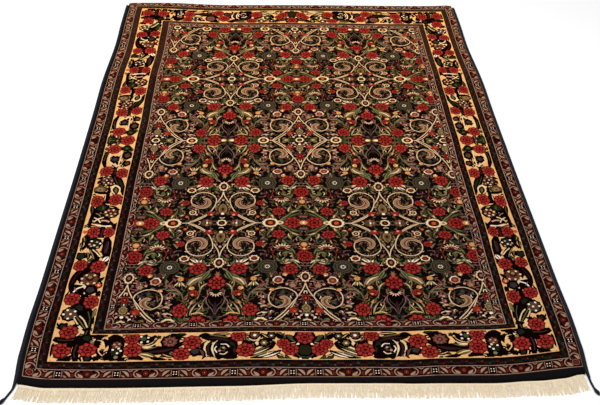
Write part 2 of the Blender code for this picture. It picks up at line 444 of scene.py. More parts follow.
def knot_pile(name, outline, ground, chart, ridges=()):
    """Knots one piece of pile: the chart on its ground inside the outline."""
    outline = stepped(outline)
    low_x, low_y = np.min(outline, axis=0)
    high_x, high_y = np.max(outline, axis=0)
    points, patches, patch_dyes = [], [], []
    for colour_name, shape in [(ground, outline)] + chart:
        across, along = np.array(shape).T
        if across.max() <= low_x or across.min() >= high_x or along.max() <= low_y or along.min() >= high_y:
            continue
        if across.max() - across.min() > 2 * LONGEST or along.max() - along.min() > 2 * LONGEST:
            shape = stepped(shape)
            across, along = np.array(shape).T
        turns_left = np.dot(across, np.roll(along, -1)) > np.dot(along, np.roll(across, -1))
        patches.append(list(range(len(points), len(points) + len(shape))))
        patch_dyes.append(DYE_NAMES.index(colour_name))
        points += [Vector(point) for point in (shape if turns_left else shape[::-1])]
    edges = []
    for ridge in ridges:
        ridge = stepped(ridge)
        first, last = len(points), len(points) + len(ridge) - 1
        points += [Vector(point) for point in ridge]
        edges += [(i, i + 1) for i in range(first, last)] + [(last, first)]
    woven = delaunay_2d_cdt(points, edges, patches, 1, WELD, True)
    spill = spilled(woven, [[points[i] for i in patch] for patch in patches])
    kept = [
        (face, max(patch for patch in origin if patch not in spill))
        for face, origin in zip(woven[2], woven[5])
        if 0 in origin
    ]
    faces = np.array([face for face, patch in kept])
    dyes = np.array(patch_dyes)[[patch for face, patch in kept]]
    stations = [
        Vector((x, y))
        for x in np.arange(low_x + STATION / 2, high_x, STATION)
        for y in np.arange(low_y + STATION / 2, high_y, STATION)
    ]
    flat = np.array([tuple(point) for point in woven[0]])
    flat, faces, dyes = joined(flat, faces, dyes, stations)

    starts, ends = faces.ravel(), np.roll(faces, -1, axis=1).ravel()
    free = ~np.isin(starts * len(flat) + ends, ends * len(flat) + starts)
    following = dict(zip(starts[free].tolist(), ends[free].tolist()))
    loop = [next(iter(following))]
    while following[loop[-1]] != loop[0]:
        loop.append(following[loop[-1]])
    if len(loop) != free.sum():
        raise RuntimeError(f"{name}: its edge isn't one loop, {len(loop)} of {free.sum()}")

    rim_dyes = dict(zip(starts[free].tolist(), dyes.repeat(3)[free].tolist()))
    x, y = hand_drift(flat[:, 0] * MM, flat[:, 1] * MM)
    height = pile_height(x, y)
    x, y = lie(x, y)
    top = np.column_stack((x, y, height))
    under = top[loop]
    under[:, 2] = UNDER
    count, rim = len(top), len(loop)
    skirts = [(loop[i], count + i, count + (i + 1) % rim, loop[(i + 1) % rim]) for i in range(rim)]
    bottom = tuple(range(count, count + rim))[::-1]
    piece = make_piece(
        name,
        np.vstack((top, under)).tolist(),
        faces.tolist() + skirts + [bottom],
        pile_wool,
        "rug",
    )

    mesh = piece.data
    skirt_dyes = np.repeat([rim_dyes[i] for i in loop], 4)
    corner_dyes = np.concatenate((dyes.repeat(3), skirt_dyes, np.full(rim, patch_dyes[0])))
    mesh.color_attributes.new("dye", "FLOAT_COLOR", "CORNER")
    mesh.color_attributes["dye"].data.foreach_set("color", DYE_COLOURS[corner_dyes].ravel())

    place = (flat - (low_x, low_y)) / (high_x - low_x, high_y - low_y)
    top_map = (place * (SKIRT_UV - 0.01, 1.0))[faces.ravel()]
    run = np.arange(rim + 1) / rim
    inner, outer = SKIRT_UV, SKIRT_UV + 0.01
    skirt_map = [((inner, a), (outer, a), (outer, b), (inner, b)) for a, b in zip(run, run[1:])]
    under_map = place[loop] * (0.02, 1.0) + (0.98, 0.0)
    bake = np.vstack((top_map, np.array(skirt_map).reshape(-1, 2), under_map[::-1]))
    mesh.uv_layers.new(name="OFBake").data.foreach_set("uv", bake.ravel())
    return piece


# ---------------------------------------------------------------- the field's flowers
# Motifs drawn as the weaver's chart has them: every flower is a few flat patches of dye, each edged
# with a darker line. Places and sizes are in millimetres on the chart.

STRAP_WIDTH = 3.2


def lobed(x, y, radius, lobes=0, depth=0.0, turn=0.0, squash=1.0, steps=16):
    """A round outline, with rounded petals where it has lobes. squash flattens it along the chart."""
    steps = max(steps, 3 * lobes) if lobes else steps
    outline = []
    for step in range(steps):
        angle = 2 * math.pi * step / steps
        reach = radius * (1 - depth * (0.5 - 0.5 * math.cos(lobes * angle)))
        across, along = reach * math.cos(angle + turn), reach * math.sin(angle + turn)
        outline.append((x + across, y + along * squash))
    return outline


def smooth(points, steps):
    """A smooth line through given points, of any number of columns."""
    line = []
    for i in range(len(points) - 1):
        before, start = points[max(0, i - 1)], points[i]
        end, after = points[i + 1], points[min(len(points) - 1, i + 2)]
        for step in range(steps):
            t = step / steps
            weights = (
                -0.5 * t + t * t - 0.5 * t**3,
                1 - 2.5 * t * t + 1.5 * t**3,
                0.5 * t + 2 * t * t - 1.5 * t**3,
                -0.5 * t * t + 0.5 * t**3,
            )
            columns = zip(before, start, end, after)
            line.append(tuple(sum(w * value for w, value in zip(weights, column)) for column in columns))
    return line + [tuple(points[-1])]


def stripe(points, width=None, steps=3):
    """A band along a smooth line. Columns of its points: x, y, and the width if it isn't given."""
    line = smooth(points, steps)
    left, right = [], []
    for i, point in enumerate(line):
        before, after = line[max(0, i - 1)], line[min(len(line) - 1, i + 1)]
        run_x, run_y = after[0] - before[0], after[1] - before[1]
        half = (point[2] if width is None else width) / 2 / max(0.001, math.hypot(run_x, run_y))
        left.append((point[0] - run_y * half, point[1] + run_x * half))
        right.append((point[0] + run_y * half, point[1] - run_x * half))
    return left + right[::-1]


def blade(x0, y0, x1, y1, width, bend=0.0, steps=6):
    """A pointed leaf from its stalk to its tip, bent sideways by bend."""
    run_x, run_y = x1 - x0, y1 - y0
    reach = math.hypot(run_x, run_y)
    side_x, side_y = -run_y / reach, run_x / reach
    left, right = [], []
    for step in range(steps + 1):
        t = step / steps
        centre = bend * math.sin(math.pi * t)
        half = width / 2 * math.sin(math.pi * t**0.8)
        x, y = x0 + run_x * t + side_x * centre, y0 + run_y * t + side_y * centre
        left.append((x + side_x * half, y + side_y * half))
        right.append((x - side_x * half, y - side_y * half))
    return left + right[-2:0:-1]


def rose(x, y, radius, turn=0.0, squash=1.0):
    """The madder rose: eight outer petals, two rings of inner ones and a dark heart."""
    parts = [("black", lobed(x, y, radius + 1.6, 8, 0.14, turn, squash, 24))]
    parts.append(("madder", lobed(x, y, radius, 8, 0.20, turn, squash, 24)))
    parts.append(("rose", lobed(x, y, 0.86 * radius, 8, 0.30, turn + 0.1, squash, 24)))
    for petal in range(8):
        angle = turn + 2 * math.pi * (petal + 0.5) / 8
        slit = [(0.4 * radius, angle - 0.26), (1.02 * radius, angle), (0.4 * radius, angle + 0.26)]
        parts.append(
            ("crimson", [(x + r * math.cos(a), y + r * math.sin(a) * squash) for r, a in slit])
        )
    parts.append(("crimson", lobed(x, y, 0.62 * radius, 6, 0.24, turn + 0.3, squash, 18)))
    parts.append(("madder", lobed(x, y, 0.50 * radius, 6, 0.44, turn + 0.3, squash, 18)))
    parts.append(("crimson", lobed(x, y, 0.27 * radius, 3, 0.40, turn, squash, 9)))
    return parts


def leaf(x0, y0, x1, y1, width, bend=0.0, dye="leaf", vein="sage"):
    """A leaf with a dark edge and a lighter vein."""
    parts = [("black", blade(x0, y0, x1, y1, width + 2.4, bend))]
    parts.append((dye, blade(x0, y0, x1, y1, width, bend)))
    if vein:
        parts.append((vein, blade(x0, y0, x0 + 0.85 * (x1 - x0), y0 + 0.85 * (y1 - y0), width * 0.26, bend)))
    return parts


def undergrowth(box, pitch, reach, width, kinds, seed):
    """Small leaves that fill the ground between the flowers, on a loose grid, leaning together.

    kinds are pairs of dyes, of a leaf and its vein.
    """
    picks = random.Random(seed)
    parts = []
    for column in range(round((box[1] - box[0]) / pitch)):
        for row in range(round((box[3] - box[2]) / pitch)):
            x = box[0] + (column + picks.uniform(0.1, 0.9)) * pitch
            y = box[2] + (row + picks.uniform(0.1, 0.9)) * pitch
            angle = 2.3 * math.sin(x / 41) + 1.9 * math.cos(y / 33) + picks.uniform(-0.6, 0.6)
            size = reach * picks.uniform(0.75, 1.25)
            tip_x, tip_y = x + size * math.cos(angle), y + size * math.sin(angle)
            bend = picks.choice((-0.18, 0.18)) * size
            dye, vein = picks.choice(kinds)
            parts.append((dye, blade(x, y, tip_x, tip_y, width * picks.uniform(0.8, 1.2), bend, 4)))
            if vein:
                parts.append((vein, blade(x, y, tip_x, tip_y, width * 0.24, bend, 3)))
    return parts


def tendrils(box, pitch, reach, width, kinds, seed):
    """Short curling stems of many dyes between the flowers, on a loose grid."""
    picks = random.Random(seed)
    parts = []
    for column in range(round((box[1] - box[0]) / pitch)):
        for row in range(round((box[3] - box[2]) / pitch)):
            x = box[0] + (column + picks.uniform(0.0, 1.0)) * pitch
            y = box[2] + (row + picks.uniform(0.0, 1.0)) * pitch
            angle = picks.uniform(0, 2 * math.pi)
            turn = picks.choice((-1, 1)) * picks.uniform(0.7, 1.5)
            size = reach * picks.uniform(0.6, 1.2)
            curl = [(x, y, width * 0.6)]
            for bend, share in ((0.5, 1.1), (1.3, 0.5)):
                x += size * 0.5 * math.cos(angle + turn * bend)
                y += size * 0.5 * math.sin(angle + turn * bend)
                curl.append((x, y, width * share))
            parts.append((picks.choice(kinds), stripe(curl, steps=2)))
    return parts


def uncovered(chart):
    """The chart without the patches that lie wholly under one later, rounder patch."""
    shapes = [np.array(shape) for colour_name, shape in chart]
    discs = []
    for shape in shapes:
        middle = shape.mean(axis=0)
        start, run = shape - middle, np.roll(shape, -1, axis=0) - shape
        along = np.clip(-(start * run).sum(axis=1) / np.maximum(1e-9, (run * run).sum(axis=1)), 0, 1)
        nearest = np.hypot(*(start + run * along[:, None]).T).min()
        cross = start[:, 0] * run[:, 1] - start[:, 1] * run[:, 0]
        turned = np.arctan2(cross, (start * (start + run)).sum(axis=1))
        discs.append((*middle, nearest if abs(turned.sum()) > 6 else 0.0))
    discs = np.array(discs)
    kept = []
    for i, (part, shape) in enumerate(zip(chart, shapes)):
        later = discs[i + 1 :]
        gaps = np.hypot(shape[:, 0, None] - later[:, 0], shape[:, 1, None] - later[:, 1])
        if not (gaps.max(axis=0, initial=0.0) < later[:, 2] - 0.3).any():
            kept.append(part)
    return kept


def palmette(x, y, across, along, ring, heart, seed, lobes, depth):
    """A scalloped ring round a dark heart, longer one way: across and along are its half sizes."""
    squash = along / across
    parts = [("black", lobed(x, y, across + 2.0, lobes, depth * 0.8, math.pi / 2, squash))]
    parts.append((ring, lobed(x, y, across, lobes, depth, math.pi / 2, squash)))
    parts.append((heart, lobed(x, y, across * 0.64, 0, 0.0, 0.0, squash, 14)))
    parts.append((seed, lobed(x, y, across * 0.27, 0, 0.0, 0.0, squash, 8)))
    return parts


def ring_flower(x, y, across, along):
    """The gold flower that the straps pass through: pointed at its sides, with a dark heart."""
    parts = [("black", blade(x - 1.6 * across, y, x + 1.6 * across, y, along * 0.8))]
    parts.append(("gold", blade(x - 1.5 * across, y, x + 1.5 * across, y, along * 0.6)))
    parts += palmette(x, y, across, along, "straw", "maroon", "lilac", 10, 0.22)
    parts.insert(4, ("cream", lobed(x, y, across * 0.8, 10, 0.2, math.pi / 2, along / across)))
    return parts


def rosette(x, y, radius, petal, ring, heart, lobes, depth):
    """A round open flower: petals, a dotted ring and a heart."""
    parts = [("black", lobed(x, y, radius + 1.8, lobes, depth))]
    parts.append((petal, lobed(x, y, radius, lobes, depth)))
    parts.append((ring, lobed(x, y, radius * 0.36, 6, 0.2)))
    parts.append((heart, lobed(x, y, radius * 0.22, 0, 0.0, steps=8)))
    return parts


def bud(x, y, radius, dye, tip, turn):
    """A small half-open flower with a paler tip towards turn."""
    parts = [("black", lobed(x, y, radius + 1.4, 5, 0.2, turn))]
    parts.append((dye, lobed(x, y, radius, 5, 0.24, turn)))
    tip_x, tip_y = x + 0.45 * radius * math.cos(turn), y + 0.45 * radius * math.sin(turn)
    parts.append((tip, lobed(tip_x, tip_y, radius * 0.34, steps=8)))
    return parts


def strap(points):
    """One pale line of the scrolling strap, edged with black."""
    return [("black", stripe(points, STRAP_WIDTH + 2.6)), ("straw", stripe(points, STRAP_WIDTH))]


def stem(points, width, dye):
    """A thin stem."""
    return [(dye, stripe(points, width))]


def rings(x, y, *rounds, squash=1.0):
    """Lobed rounds over one another about one middle, each given as dye, radius, lobes and depth."""
    return [(dye, lobed(x, y, *form, squash=squash)) for dye, *form in rounds]


def dots(places, radius, dye):
    """Small round spots."""
    return [(dye, lobed(x, y, radius, steps=8)) for x, y in places]


def fan(x, y, reach, start, end, petals, dye, base):
    """Petals spread like a hand from one base."""
    parts = []
    for petal in range(petals):
        angle = math.radians(start + (end - start) * petal / (petals - 1))
        tip_x, tip_y = x + reach * math.cos(angle), y + reach * math.sin(angle)
        root_x, root_y = x + 0.35 * reach * math.cos(angle), y + 0.35 * reach * math.sin(angle)
        parts.append(("black", blade(root_x, root_y, tip_x, tip_y, reach * 0.34, steps=4)))
        parts.append((dye, blade(root_x, root_y, tip_x, tip_y, reach * 0.22, steps=4)))
    parts.append((base, lobed(x, y, reach * 0.4, 7, 0.2, 0.0, 0.6)))
    return parts


# ---------------------------------------------------------------- the field
# The middle of the rug: near-black indigo ground under a net of gold straps, volutes and roses.
# One quarter of the repeat is charted, and mirrored about each of its four sides.

CELL_ACROSS, CELL_ALONG = 240, 424  # mm of a quarter repeat
FIELD_CENTRE = (16.5, -14)
FIELD = (-481, 502, -844, 826)  # left, right, near, far

FIELD_LEAVES = (
    ("bottle", "leaf"), ("leaf", "sage"), ("slate", "grey"), ("olive", "sage"),
    ("brown", "tan"), ("plum", "mauve"), ("bottle", "olive"), ("maroon", None),
)
FIELD_TENDRILS = (
    "tan", "olive", "mauve", "sage", "brown", "pink", "leaf", "cream", "maroon", "lilac", "grey",
    "tan", "olive", "mauve", "leaf",
)
whole_quarter = (0, CELL_ACROSS, 0, CELL_ALONG)
quarter = [
    *undergrowth(whole_quarter, 25, 22, 9, FIELD_LEAVES, 4),
    *tendrils(whole_quarter, 15, 15, 2.8, FIELD_TENDRILS, 9),
]
# Leaves first, then stems, then flowers: columns are mm across and along from the ring rosette.
quarter += [
    *leaf(172, 4, 234, 50, 9, 4, "leaf", "sage"), *leaf(176, 22, 212, 58, 12, -3, "bottle", "leaf"),
    *leaf(200, 44, 234, 62, 11, 3, "olive", "cream"), *leaf(196, 52, 206, 82, 11, 3, "olive", "cream"),
    *leaf(218, 60, 238, 80, 9, 2, "leaf", "sage"), *leaf(178, 80, 196, 104, 11, 4),
    *leaf(152, 20, 118, 62, 15, -7, "olive", "cream"), *leaf(150, 36, 132, 74, 12, 5, "bottle", "sage"),
    *leaf(130, 32, 112, 54, 10, 5, "tan", "cream"), *leaf(206, 150, 226, 206, 8, 5, "olive", "cream"),
    *leaf(226, 186, 196, 168, 10, 4, "sage", "ivory"), *leaf(206, 176, 176, 172, 7, 4, "olive", "ivory"),
    *leaf(202, 180, 168, 184, 7, -4, "sage", "ivory"), *leaf(198, 118, 214, 152, 8, -4),
    *leaf(172, 176, 202, 168, 10, 5, "olive", "cream"), *leaf(176, 146, 206, 140, 13, -5, "leaf", "sage"),
    *leaf(184, 160, 178, 138, 11, 5, "olive", "leaf"), *leaf(198, 158, 206, 146, 8, 3, "sage", "cream"),
    *leaf(22, 208, 50, 262, 10, 6, "leaf", "sage"), *leaf(40, 238, 84, 284, 19, -8, "tan", "cream"),
    *leaf(44, 250, 78, 286, 9, -5, "olive", "sage"), *leaf(34, 214, 66, 246, 12, 4, "leaf", "sage"),
    *leaf(18, 226, 34, 250, 9, 3, "bottle", "sage"), *leaf(26, 262, 44, 300, 9, -5, "olive", "cream"),
]
for shift in range(5):
    quarter.append((("cream", "sage")[shift % 2], blade(104 - 2 * shift, 258, 116 - 8 * shift, 278, 3.6)))
for shift in range(6):
    quarter.append((("ivory", "sage")[shift % 2], blade(58 - shift, 184, 84 - 9 * shift, 164 + shift, 4.6)))
quarter += [
    *leaf(34, 186, 44, 168, 8, 3, "leaf", "sage"), *leaf(26, 150, 36, 128, 8, 3, "bottle", "leaf"),
    *leaf(116, 302, 96, 318, 8, 4, "leaf", "sage"), *leaf(128, 284, 108, 296, 8, -4, "grey", "sage"),
    *leaf(112, 350, 134, 342, 10, 5, "sage", "cream"), *leaf(118, 366, 142, 362, 10, -4, "tan", "cream"),
    *leaf(120, 384, 140, 386, 10, 3, "tan", "ivory"), *leaf(126, 330, 112, 318, 9, 3, "mauve", "pink"),
    *leaf(64, 348, 52, 330, 8, 3, "leaf", "sage"), *leaf(76, 404, 56, 424, 16, 3, "leaf", "sage"),
    *leaf(56, 392, 34, 368, 14, -4, "leaf", "sage"), *leaf(66, 396, 44, 340, 6, 4, "sage", "cream"),
    *leaf(72, 398, 60, 338, 6, 5, "olive", "cream"), *leaf(52, 386, 30, 344, 6, -3, "olive", "cream"),
    *leaf(104, 400, 86, 424, 22, 0, "leaf", "bottle"), *leaf(110, 384, 96, 412, 10, 3, "bottle", "leaf"),
    *leaf(30, 330, 26, 352, 8, 3, "slate", "grey"), *leaf(206, 222, 222, 258, 9, 4, "bottle", "leaf"),
    *leaf(182, 190, 170, 168, 8, 3), *leaf(138, 230, 146, 248, 9, 3, "bottle", "leaf"),
    *leaf(218, 270, 206, 296, 7, 3, "bottle", "leaf"), *leaf(150, 232, 168, 226, 8, 3, "slate", "grey"),
    *leaf(88, 30, 108, 42, 9, 4, "bottle", "olive"), *leaf(112, 40, 132, 66, 10, -5, "bottle", "olive"),
    *leaf(70, 292, 82, 268, 8, -3, "bottle", "leaf"), *leaf(210, 180, 222, 226, 9, 3, "bottle", "leaf"),
    *leaf(160, 160, 176, 182, 9, 3, "grey", "sage"), *leaf(92, 184, 100, 214, 10, 3, "bottle", "leaf"),
    *leaf(186, 82, 214, 96, 9, 3, "slate", "grey"), *leaf(120, 74, 134, 92, 10, 3, "slate", "grey"),
    *stem([(166, 116), (148, 118), (134, 134), (128, 152), (126, 172)], 3.2, "crimson"),
    *stem([(196, 124), (172, 118), (156, 128), (150, 144), (155, 160)], 3.4, "rust"),
    *stem([(204, 132), (188, 124), (170, 124)], 3.0, "tan"),
    *stem([(131, 228), (138, 244), (146, 252)], 2.6, "maroon"),
    *stem([(110, 246), (122, 256), (122, 270), (110, 284), (92, 308), (84, 340)], 3.4, "rust"),
    *stem([(108, 318), (110, 306), (122, 304), (131, 314), (131, 330)], 3.4, "mauve"),
    *stem([(118, 252), (128, 264), (124, 280), (112, 290)], 2.8, "mauve"),
    *stem([(134, 268), (112, 282), (94, 304), (86, 330)], 2.6, "lilac"),
    *stem([(96, 309), (104, 296), (118, 290), (134, 292)], 3.0, "sage"),
    *stem([(206, 50), (196, 36), (178, 20), (168, 6)], 3.4, "sage"),
    *stem([(238, 40), (210, 34), (186, 20), (168, 6)], 2.6, "leaf"),
    *stem([(208, 54), (204, 78), (202, 96)], 2.4, "olive"),
    *stem([(228, 206), (216, 186), (206, 162), (204, 140)], 2.8, "sage"),
    *stem([(20, 210), (36, 230), (48, 262), (42, 292), (48, 330)], 2.8, "sage"),
    *stem([(24, 292), (22, 318), (34, 344), (30, 380)], 2.4, "tan"),
    *stem([(48, 320), (56, 336), (72, 346)], 2.2, "olive"),
    *stem([(72, 300), (80, 322), (86, 342)], 2.4, "olive"),
    *stem([(166, 76), (162, 92), (154, 104)], 4.6, "rust"), *stem([(164, 84), (160, 98)], 3, "pink"),
]

# The straps: two pale lines from the palmettes to the ends, and the rings of the two volutes.
quarter += [
    *strap([(118, 0), (104, 0), (98, 0), (75, 12), (55, 27), (40, 46), (30, 66), (25, 84), (17, 103),
        (8, 122), (2, 142), (0, 160)]),
    *strap([(98, 2), (72, 20), (50, 38), (36, 56), (28, 74), (22, 96), (21, 118), (28, 134), (42, 147),
        (60, 152), (78, 147), (91, 134), (97, 116), (96, 100), (92, 90)]),
    *strap([(138, 424), (150, 424), (168, 412), (183, 395), (199, 371), (208, 351), (219, 324),
        (230, 300), (237, 278), (240, 262)]),
    *strap([(150, 422), (162, 407), (177, 390), (192, 368), (203, 350), (213, 334), (218, 322),
        (214, 308), (203, 296), (186, 287), (166, 289), (150, 300), (142, 318), (142, 338), (148, 356),
        (164, 368)]),
]
# Thick tan commas inside the volutes, dark within.
quarter += [
    *stem([(84, 100), (80, 122), (64, 138), (46, 134)], 2.6, "bottle"),
    *stem([(92, 104), (88, 124), (76, 138)], 2.2, "slate"),
    *stem([(36, 112), (38, 128), (52, 138)], 2.4, "brown"),
    *stem([(74, 96), (76, 108), (68, 118)], 2.2, "grey"), *dots([(66, 106), (84, 112)], 2.6, "plum"),
]
comma = [(93, 92, 4), (78, 80, 9), (60, 77, 13), (48, 87, 15), (44, 101, 14), (50, 115, 10), (60, 119, 4)]
quarter += [
    ("black", stripe([(x, y, wide + 5) for x, y, wide in comma])),
    ("straw", stripe([(x, y, wide + 2.4) for x, y, wide in comma])), ("tan", stripe(comma)),
    ("brown", stripe([(80, 80, 1), (62, 79, 3), (51, 88, 4), (47, 101, 4), (54, 113, 2)])),
    ("mauve", stripe([(60, 92, 2), (56, 100, 4), (60, 108, 2)])),
    *stem([(200, 318), (190, 302), (170, 300), (158, 312)], 2.6, "plum"),
    *stem([(206, 322), (196, 306), (180, 296)], 2.2, "slate"),
    *stem([(152, 318), (150, 336), (158, 350)], 2.4, "bottle"),
    *stem([(186, 322), (176, 312), (164, 320)], 2.2, "brown"),
    *dots([(172, 324), (160, 334)], 2.6, "mauve"),
]
comma = [(164, 368, 4), (178, 362, 9), (189, 350, 13), (191, 336, 14), (182, 326, 10), (172, 330, 5)]
quarter += [
    ("black", stripe([(x, y, wide + 5) for x, y, wide in comma])),
    ("straw", stripe([(x, y, wide + 2.4) for x, y, wide in comma])), ("tan", stripe(comma)),
    ("brown", stripe([(178, 362, 2), (189, 351, 4), (191, 338, 4), (183, 329, 2)])),
]

# Flowers that lie on the mirror lines.
quarter += [
    *palmette(0, 0, 16, 16, "cream", "black", "brown", 8, 0.16),
    *palmette(0, 66, 16, 32, "brown", "olive", "maroon", 9, 0.25), *dots([(0, 44)], 5, "ivory"),
    ("tan", stripe([(-10, 56), (0, 50), (10, 56), (10, 74), (0, 92), (-10, 74), (-10, 58)], 2.2)),
    *palmette(43, 2, 20, 17, "brown", "grey", "plum", 9, 0.25),
    *dots([(34, 2), (44, -8), (44, 12)], 3.4, "tan"), *dots([(43, 2)], 3, "ivory"),
    *dots([(0, 112)], 4.5, "pink"), *dots([(9, 104)], 3, "lilac"), *ring_flower(0, 181, 16.5, 24),
    *leaf(18, 184, 30, 180, 7), *rose(0, 263, 25, 0.35, 1.1), *dots([(0, 238)], 5, "flame"),
    ("black", stripe([(0, 300, 30), (0, 322, 50), (0, 350, 44), (0, 380, 18), (0, 398, 8)])),
    *fan(0, 302, 20, 12, 168, 7, "straw", "black"),
    ("lilac", stripe([(0, 394), (-8, 372), (-20, 352), (-24, 328), (-16, 304)], 2.2)),
    ("grey", stripe([(0, 372), (-6, 356), (-15, 344), (-18, 330)], 2)),
    ("lilac", stripe([(0, 394), (8, 372), (20, 352), (24, 328), (16, 304)], 2.2)),
    ("grey", stripe([(0, 372), (6, 356), (15, 344), (18, 330)], 2)), ("plum", blade(0, 392, 0, 340, 12)),
    ("slate", blade(0, 392, 0, 356, 5)), ("bottle", lobed(0, 398, 8, 5, 0.3)),
    ("orange", blade(2, 424, 32, 424, 18)), ("ivory", blade(6, 424, 28, 424, 8)),
    *palmette(119, 424, 20, 20, "cream", "maroon", "orange", 9, 0.14),
    *rosette(195, 424, 14, "olive", "cream", "brown", 7, 0.3),
    *palmette(240, 424, 15, 15, "cream", "black", "brown", 8, 0.16), *rose(45, 424, 25, 0.5, 1.2),
    ("gold", stripe([(30, 389), (46, 384), (62, 390)], 3.4)),
    *palmette(143, 2, 25, 21, "cream", "maroon", "flame", 9, 0.14), ("cream", blade(160, 2, 182, 2, 14)),
    ("sage", blade(166, 2, 178, 2, 6)), *rose(208, 2, 26, 0.5), ("orange", blade(228, 2, 248, 2, 16)),
    ("ivory", lobed(240, 2, 4, 4, 0.3, steps=8)),
    *palmette(240, 104, 14, 15, "brown", "orange", "pink", 7, 0.25), *dots([(240, 122)], 4, "straw"),
    ("flame", stripe([(228, 112), (234, 124), (240, 128), (246, 124), (252, 112)], 3.6)),
    *rose(240, 153, 26, 0.2), *ring_flower(240, 240, 15.5, 23),
    *palmette(240, 328, 11, 15, "madder", "crimson", "flame", 7, 0.25),
    ("cream", stripe([(240, 344), (240, 356)], 3.4)),
    *palmette(240, 370, 13, 18, "tan", "olive", "sage", 9, 0.25), *dots([(240, 396)], 5, "ivory"),
    *dots([(226, 396)], 3.4, "pink"), *dots([(240, 408)], 3, "tan"),
    *dots([(214, 392), (224, 382)], 3.6, "pink"), *dots([(218, 404)], 3, "ivory"),
]

# Flowers between them.
quarter += [
    *bud(35, 44, 12, "madder", "pink", -1.9),
    *palmette(89, 50, 12, 12, "cream", "maroon", "orange", 7, 0.2), *dots([(77, 40), (80, 66)], 4, "pink"),
    ("tan", stripe([(72, 48), (74, 66), (90, 72)], 2.6)), *bud(105, 30, 6, "flame", "orange", -1.5),
    *rose(168, 55, 21, 0.9), *rose(113, 99, 13, 0.1), ("orange", lobed(124, 90, 4, 5, 0.2)),
    *fan(177, 124, 26, 200, 340, 7, "straw", "maroon"),
    ("rust", stripe([(158, 122), (170, 114), (184, 114), (196, 124)], 3.4)),
    *palmette(98, 163, 16, 14, "cream", "maroon", "madder", 7, 0.24),
    *dots([(90, 158), (106, 158)], 2.6, "pink"), *rose(57, 205, 26, 0.7),
    *leaf(70, 188, 84, 178, 10, 3, "orange", "ivory"),
    *rosette(135, 199, 30, "grey", "grey", "black", 12, 0.12),
    *rings(135, 199, ("night", 25, 12, 0.14), ("grey", 22, 12, 0.12), ("night", 16, 12, 0.14),
        ("grey", 13, 12, 0.12), ("ivory", 8, 7, 0.3)), *dots([(135, 199)], 4.8, "black"),
    *dots([(135, 199)], 2, "lilac"), *rose(199, 210, 23, 0.3), *bud(184, 232, 8, "orange", "ivory", 1.2),
    *rosette(99, 247, 10, "orange", "gold", "brown", 7, 0.3),
    *palmette(166, 254, 17, 16, "pink", "brown", "flame", 7, 0.24),
    ("ivory", stripe([(152, 258), (158, 244), (172, 240)], 2.4)), ("brown", lobed(150, 264, 6, steps=8)),
    *rosette(206, 276, 11, "tan", "pink", "brown", 6, 0.35), *dots([(190, 270)], 4, "pink"),
    *dots([(214, 288), (222, 296)], 4.4, "mauve"), *dots([(226, 268)], 3.4, "tan"),
    *bud(66, 284, 9, "orange", "cream", 0.3), *rose(58, 306, 14, 0.4), *dots([(62, 312)], 4, "orange"),
    *bud(150, 294, 8, "orange", "gold", 3.0), *rose(92, 375, 22, 0.2, 1.22),
    ("orange", blade(66, 352, 60, 336, 7)), *bud(206, 378, 12, "madder", "flame", 0.9),
    *dots([(152, 384), (144, 392)], 4, "mauve"), *dots([(20, 126), (14, 142)], 4, "plum"),
    *bud(126, 344, 8, "mauve", "pink", 0.4), *dots([(134, 374), (128, 396)], 3.6, "tan"),
    *dots([(116, 22), (126, 30)], 4.5, "plum"), *dots([(112, 228), (118, 236)], 4.5, "slate"),
    *dots([(208, 108), (216, 116)], 5, "brown"), *dots([(216, 252), (214, 262)], 4.5, "mauve"),
    *bud(226, 344, 5, "plum", "lilac", 1.5),
]


def rounded_to_knots(chart):
    """The chart with its outlines rounded to half knots."""
    rounded = []
    for colour_name, shape in chart:
        places = [tuple(round(value / CHART_GRAIN) * CHART_GRAIN for value in place) for place in shape]
        kept = [place for i, place in enumerate(places) if place != places[i - 1]]
        if len(kept) > 2:
            rounded.append((colour_name, kept))
    return rounded


def placed(chart, placements):
    """The chart's patches at every placement, in the chart's order; a patch met twice is laid once."""
    laid, seen = [], set()
    for colour_name, shape in chart:
        for placement in placements:
            moved = [placement(x, y) for x, y in shape]
            middle_x = sum(x for x, y in moved) / len(moved)
            middle_y = sum(y for x, y in moved) / len(moved)
            reach_x = max(x for x, y in moved)
            key = (colour_name, round(middle_x), round(middle_y), len(moved), round(reach_x))
            if key not in seen:
                seen.add(key)
                laid.append((colour_name, moved))
    return laid


# Knotted by hand, the repeat came out longer or shorter in each of its four quarter lengths. A row
# is the place of its ring rosettes, the way it runs, and where its chart rows lie from there.
CHART_ROWS = (0, 100, 181, 240, 263, 306, 373, 424)
FIELD_ROWS = (
    (-430, -1, (0, 95, 175, 233, 258, 296, 358, 407)),
    (-430, 1, (0, 98, 178, 247, 268, 320, 392, 439)),
    (420, -1, (0, 94, 170, 231, 257, 296, 362, 411)),
    (420, 1, (0, 88, 158, 224, 242, 290, 355, 407)),
)


def field_placement(column, hand, row, way, rows):
    """Places the quarter chart beside a column and a row of ring rosettes, mirrored by hand and way."""

    def placement(x, y):
        beyond = min(y, 0) + max(y - CELL_ALONG, 0)
        reach = float(np.interp(y, CHART_ROWS, rows)) + beyond
        return FIELD_CENTRE[0] + column + hand * x, FIELD_CENTRE[1] + row + way * reach

    return placement


field_places = [
    field_placement(column, hand, *row)
    for column in (-3 * CELL_ACROSS, -CELL_ACROSS, CELL_ACROSS, 3 * CELL_ACROSS)
    for hand in (-1, 1)
    for row in FIELD_ROWS
]
field_chart = placed(rounded_to_knots(uncovered(quarter)), field_places)
left, right, near, far = FIELD
seam = FIELD_CENTRE[0]
pile_pieces = [
    knot_pile("field_left", [(left, near), (seam, near), (seam, far), (left, far)], "navy", field_chart),
    knot_pile("field_right", [(seam, near), (right, near), (right, far), (seam, far)], "navy", field_chart),
]


